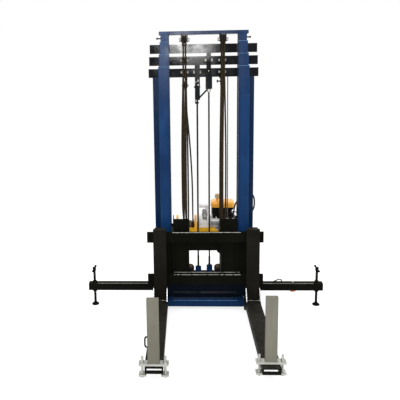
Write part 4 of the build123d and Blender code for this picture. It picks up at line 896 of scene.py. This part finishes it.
def tyre(place, radius, width):
    """A tread with grooves between two dished sides, as shares of the half width and the radius."""
    sides = ((1.0, 0.50), (0.9, 0.55), (0.9, 0.74), (1.0, 0.78), (1.0, 0.92), (0.84, 0.995))
    half = width / 2
    profile = [(-half, WHEEL_BORE)] + [(-share * half, height * radius) for share, height in sides]
    for i in range(GROOVE_COUNT):
        h = (-0.62 + 0.30 * i) * half
        profile += [(h - 0.16 * half, radius), (h, radius), (h + 0.02 * half, 0.965 * radius),
                    (h + 0.12 * half, 0.965 * radius)]
    profile += [(share * half, height * radius) for share, height in reversed(sides)] + [(half, WHEEL_BORE)]
    return lathe(place, X, profile, count=40, ring=True)


def hub(place, axis, radius):
    """A thin raised ring round the bore."""
    profile = ((0, WHEEL_BORE), (0, 0.44 * radius), (0.0012, 0.44 * radius), (0.002, 0.40 * radius),
               (0.002, WHEEL_BORE))
    return lathe(place, axis, profile, count=24, ring=True)


# Kind, x, depth, radius and width; each wheel stands on the floor
WHEELS = (("front_wheel", 0.316, -0.045, 0.050, 0.040), ("caster_wheel", 0.352, 0.565, 0.040, 0.030))
for (name, s), (kind, x, depth, radius, width) in itertools.product(SIDES, WHEELS):
    body = f"{kind}_{name}"
    place = at(s * x, depth, radius)
    piece = build(f"{body}_tyre", [tyre(place, radius, width)], rubber, body)
    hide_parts(body)
    hubs = [hub(place + d * (width / 2) * X, d * X, radius) for d in (-1, 1)]
    build(f"{body}_hubs", hubs, plastic, body)

# Painted highlights in broken lines: the ledge below the window and the front edges of both bars
BREAKS = ((-0.238, -0.222), (-0.219, -0.190), (-0.186, -0.104), (-0.101, 0.012), (0.015, 0.102),
          (0.106, 0.136), (0.142, 0.205), (0.208, 0.262))

# Shift of each start, front and rear depth, lower and upper height
EDGES = ((0.0, -0.0610, -0.0530, 0.3035, 0.3045), (0.006, -0.1006, -0.0996, 0.3006, 0.3036),
         (-0.004, -0.1006, -0.0996, 0.6275, 0.6306))
lines = [block(at(x0 + shift, near, low), at(x1, far, high), FINE_BREAK)
         for shift, near, far, low, high in EDGES for x0, x1 in BREAKS]
build("carriage_edge_highlights", lines, carriage_highlight, "carriage")

# Gusset in the upper right corner of the window, its outline measured in from that corner
CORNER_X, CORNER_Z = 0.1175, 0.4665
GUSSET = ((0.0, 0.0), (0.029, 0.0), (0.021, 0.015), (0.008, 0.022), (0.0, 0.024))
gusset = hull([at(CORNER_X - dx, depth, CORNER_Z - dz) for dx, dz in GUSSET for depth in (-0.0298, -0.0222)])
build("window_gusset", [gusset], black, "carriage")

# Painted highlights along the tops of the arms and the front beam's edge, wheel bosses and guards on the
# traverse sheaves
for name, s in SIDES:
    x0, x1 = span(s, 0.412, 0.835)
    highlight_strip = block(at(x0, ARM_FACE, 0.1805), at(x1, 0.0275, 0.1813), FAINT_BREAK)
    build(f"arm_highlight_{name}", [highlight_strip], arm_highlight, f"outrigger_arm_{name}")
BEAM_HALF = 0.243
# Painted highlight along the front beam's top edge
beam_edge_highlight = block(at(-BEAM_HALF, -0.0556, 0.0762), at(BEAM_HALF, -0.0546, 0.0797), FINE_BREAK)
build("beam_edge_highlight", [beam_edge_highlight], blue_highlight, "base")
bosses = []
for _, s in SIDES:
    x0, x1 = span(s, 0.285, 0.2935)
    bosses.append(block(at(x0, -0.055, 0.030), at(x1, 0.005, 0.100)))
build("wheel_bosses", bosses, blue_dark, "base")
GUARD = ((0, 0.027), (0.0022, 0.027), (0.0033, 0.025))
guards = [lathe(at(s * TRAVERSE_X, 0.1228, TRAVERSE_Z), -Y, GUARD, count=32) for _, s in SIDES]
build("traverse_guards", guards, steel, "section_1")

# Floor, light and camera
FLOOR_HALF = 12
floor_mesh = bpy.data.meshes.new("floor")
corners = [(x * FLOOR_HALF, y * FLOOR_HALF, 0) for x, y in ((-1, -1), (1, -1), (1, 1), (-1, 1))]
floor_mesh.from_pydata(corners, [], [(0, 1, 2, 3)])
floor = bpy.data.objects.new("floor", floor_mesh)
bpy.context.scene.collection.objects.link(floor)


def seen_ray(tree):
    """1 for rays from the camera or a reflection, 0 for light."""
    path = tree.nodes.new("ShaderNodeLightPath")
    value = path.outputs["Is Camera Ray"]
    for name in ("Is Glossy Ray", "Is Transmission Ray"):
        largest = tree.nodes.new("ShaderNodeMath")
        largest.operation = "MAXIMUM"
        tree.links.new(value, largest.inputs[0])
        tree.links.new(path.outputs[name], largest.inputs[1])
        value = largest.outputs[0]
    return value


def between(tree, value, low, high, from_low=0.0, from_high=1.0):
    """Carries a value from one range to another."""
    node = tree.nodes.new("ShaderNodeMapRange")
    node.inputs["From Min"].default_value = from_low
    node.inputs["From Max"].default_value = from_high
    node.inputs["To Min"].default_value = low
    node.inputs["To Max"].default_value = high
    tree.links.new(value, node.inputs["Value"])
    return node.outputs[0]


# Near the object the floor takes its shadow, and further out it fades to the white of the background
FLOOR_GREY = 0.45
FLOOR_GLOW = 0.70
FADE_START, FADE_END = 1.6, 3.2
ground = bpy.data.materials.new("pale_floor")
ground.use_nodes = True
tree = ground.node_tree
tree.nodes.clear()
diffuse = tree.nodes.new("ShaderNodeBsdfDiffuse")
diffuse.inputs["Color"].default_value = (FLOOR_GREY, FLOOR_GREY, FLOOR_GREY, 1)
glow = tree.nodes.new("ShaderNodeEmission")
glow.inputs["Color"].default_value = (FLOOR_GLOW, FLOOR_GLOW, FLOOR_GLOW, 1)
tree.links.new(seen_ray(tree), glow.inputs["Strength"])
near = tree.nodes.new("ShaderNodeAddShader")
tree.links.new(diffuse.outputs[0], near.inputs[0])
tree.links.new(glow.outputs[0], near.inputs[1])
far = tree.nodes.new("ShaderNodeEmission")
tree.links.new(between(tree, seen_ray(tree), FLOOR_GREY, 1.0), far.inputs["Strength"])
place = tree.nodes.new("ShaderNodeTexCoord")
radius = tree.nodes.new("ShaderNodeVectorMath")
radius.operation = "LENGTH"
tree.links.new(place.outputs["Object"], radius.inputs[0])
fade = tree.nodes.new("ShaderNodeMixShader")
tree.links.new(between(tree, radius.outputs["Value"], 0.0, 1.0, FADE_START, FADE_END), fade.inputs[0])
tree.links.new(near.outputs[0], fade.inputs[1])
tree.links.new(far.outputs[0], fade.inputs[2])
out = tree.nodes.new("ShaderNodeOutputMaterial")
tree.links.new(fade.outputs[0], out.inputs["Surface"])
floor_mesh.materials.append(ground)

world = bpy.data.worlds.new("studio")
world.use_nodes = True
bpy.context.scene.world = world
background = world.node_tree.nodes["Background"]
background.inputs["Color"].default_value = (1, 1, 1, 1)
background.inputs["Strength"].default_value = 1.0

# Name, place, target, width and height, and watts; the last two are small lamps that the paint reflects
LAMPS = (
    ("key", (-2.2, -3.4, 3.6), (0, 0, 1.0), (2.4, 2.4), 42),
    ("fill", (2.8, -2.8, 2.4), (0, 0, 0.9), (2.4, 2.4), 20),
    ("top", (0.0, 0.3, 4.6), (0, 0, 0.8), (3.0, 3.0), 30),
    ("back", (0.6, 3.6, 3.0), (0, 0, 1.0), (2.4, 2.4), 24),
    ("bar_glare", (-0.05, -4.5, 2.21), (0, 0.2, 1.95), (0.6, 0.2), 84),
    ("column_glare", (-0.44, -4.5, 2.36), (-0.3, 0.2, 2.0), (0.2, 0.3), 14),
)
for name, place, target, size, watts in LAMPS:
    data = bpy.data.lights.new(name, "AREA")
    data.shape = "RECTANGLE"
    data.size, data.size_y = size
    data.energy = watts
    lamp = bpy.data.objects.new(name, data)
    lamp.location = place
    lamp.rotation_euler = (Vector(target) - Vector(place)).to_track_quat("-Z", "Y").to_euler()
    bpy.context.scene.collection.objects.link(lamp)

# The camera fitted to the photograph: eye, turn, tilt and roll in degrees, lens in millimetres, shift
EYE = (-0.1322, -3.5683, 1.7986)
YAW, PITCH, ROLL = (math.radians(v) for v in (-2.7176, 8.9853, -1.0066))
forward = Vector((math.sin(YAW) * math.cos(PITCH), math.cos(YAW) * math.cos(PITCH), -math.sin(PITCH)))
right = Vector((math.cos(YAW), -math.sin(YAW), 0))
upper = right.cross(forward)
axis_x = right * math.cos(ROLL) + upper * math.sin(ROLL)
axis_y = -right * math.sin(ROLL) + upper * math.cos(ROLL)
turned = Matrix((axis_x, axis_y, -forward)).transposed().to_4x4()
optics = bpy.data.cameras.new("camera")
optics.sensor_width = 36.0
optics.lens = 46.27
optics.shift_x = 0.0945
optics.shift_y = -0.1147
camera = bpy.data.objects.new("camera", optics)
camera.matrix_world = Matrix.Translation(EYE) @ turned
bpy.context.scene.collection.objects.link(camera)
bpy.context.scene.camera = camera
bpy.context.scene.view_settings.view_transform = "Standard"
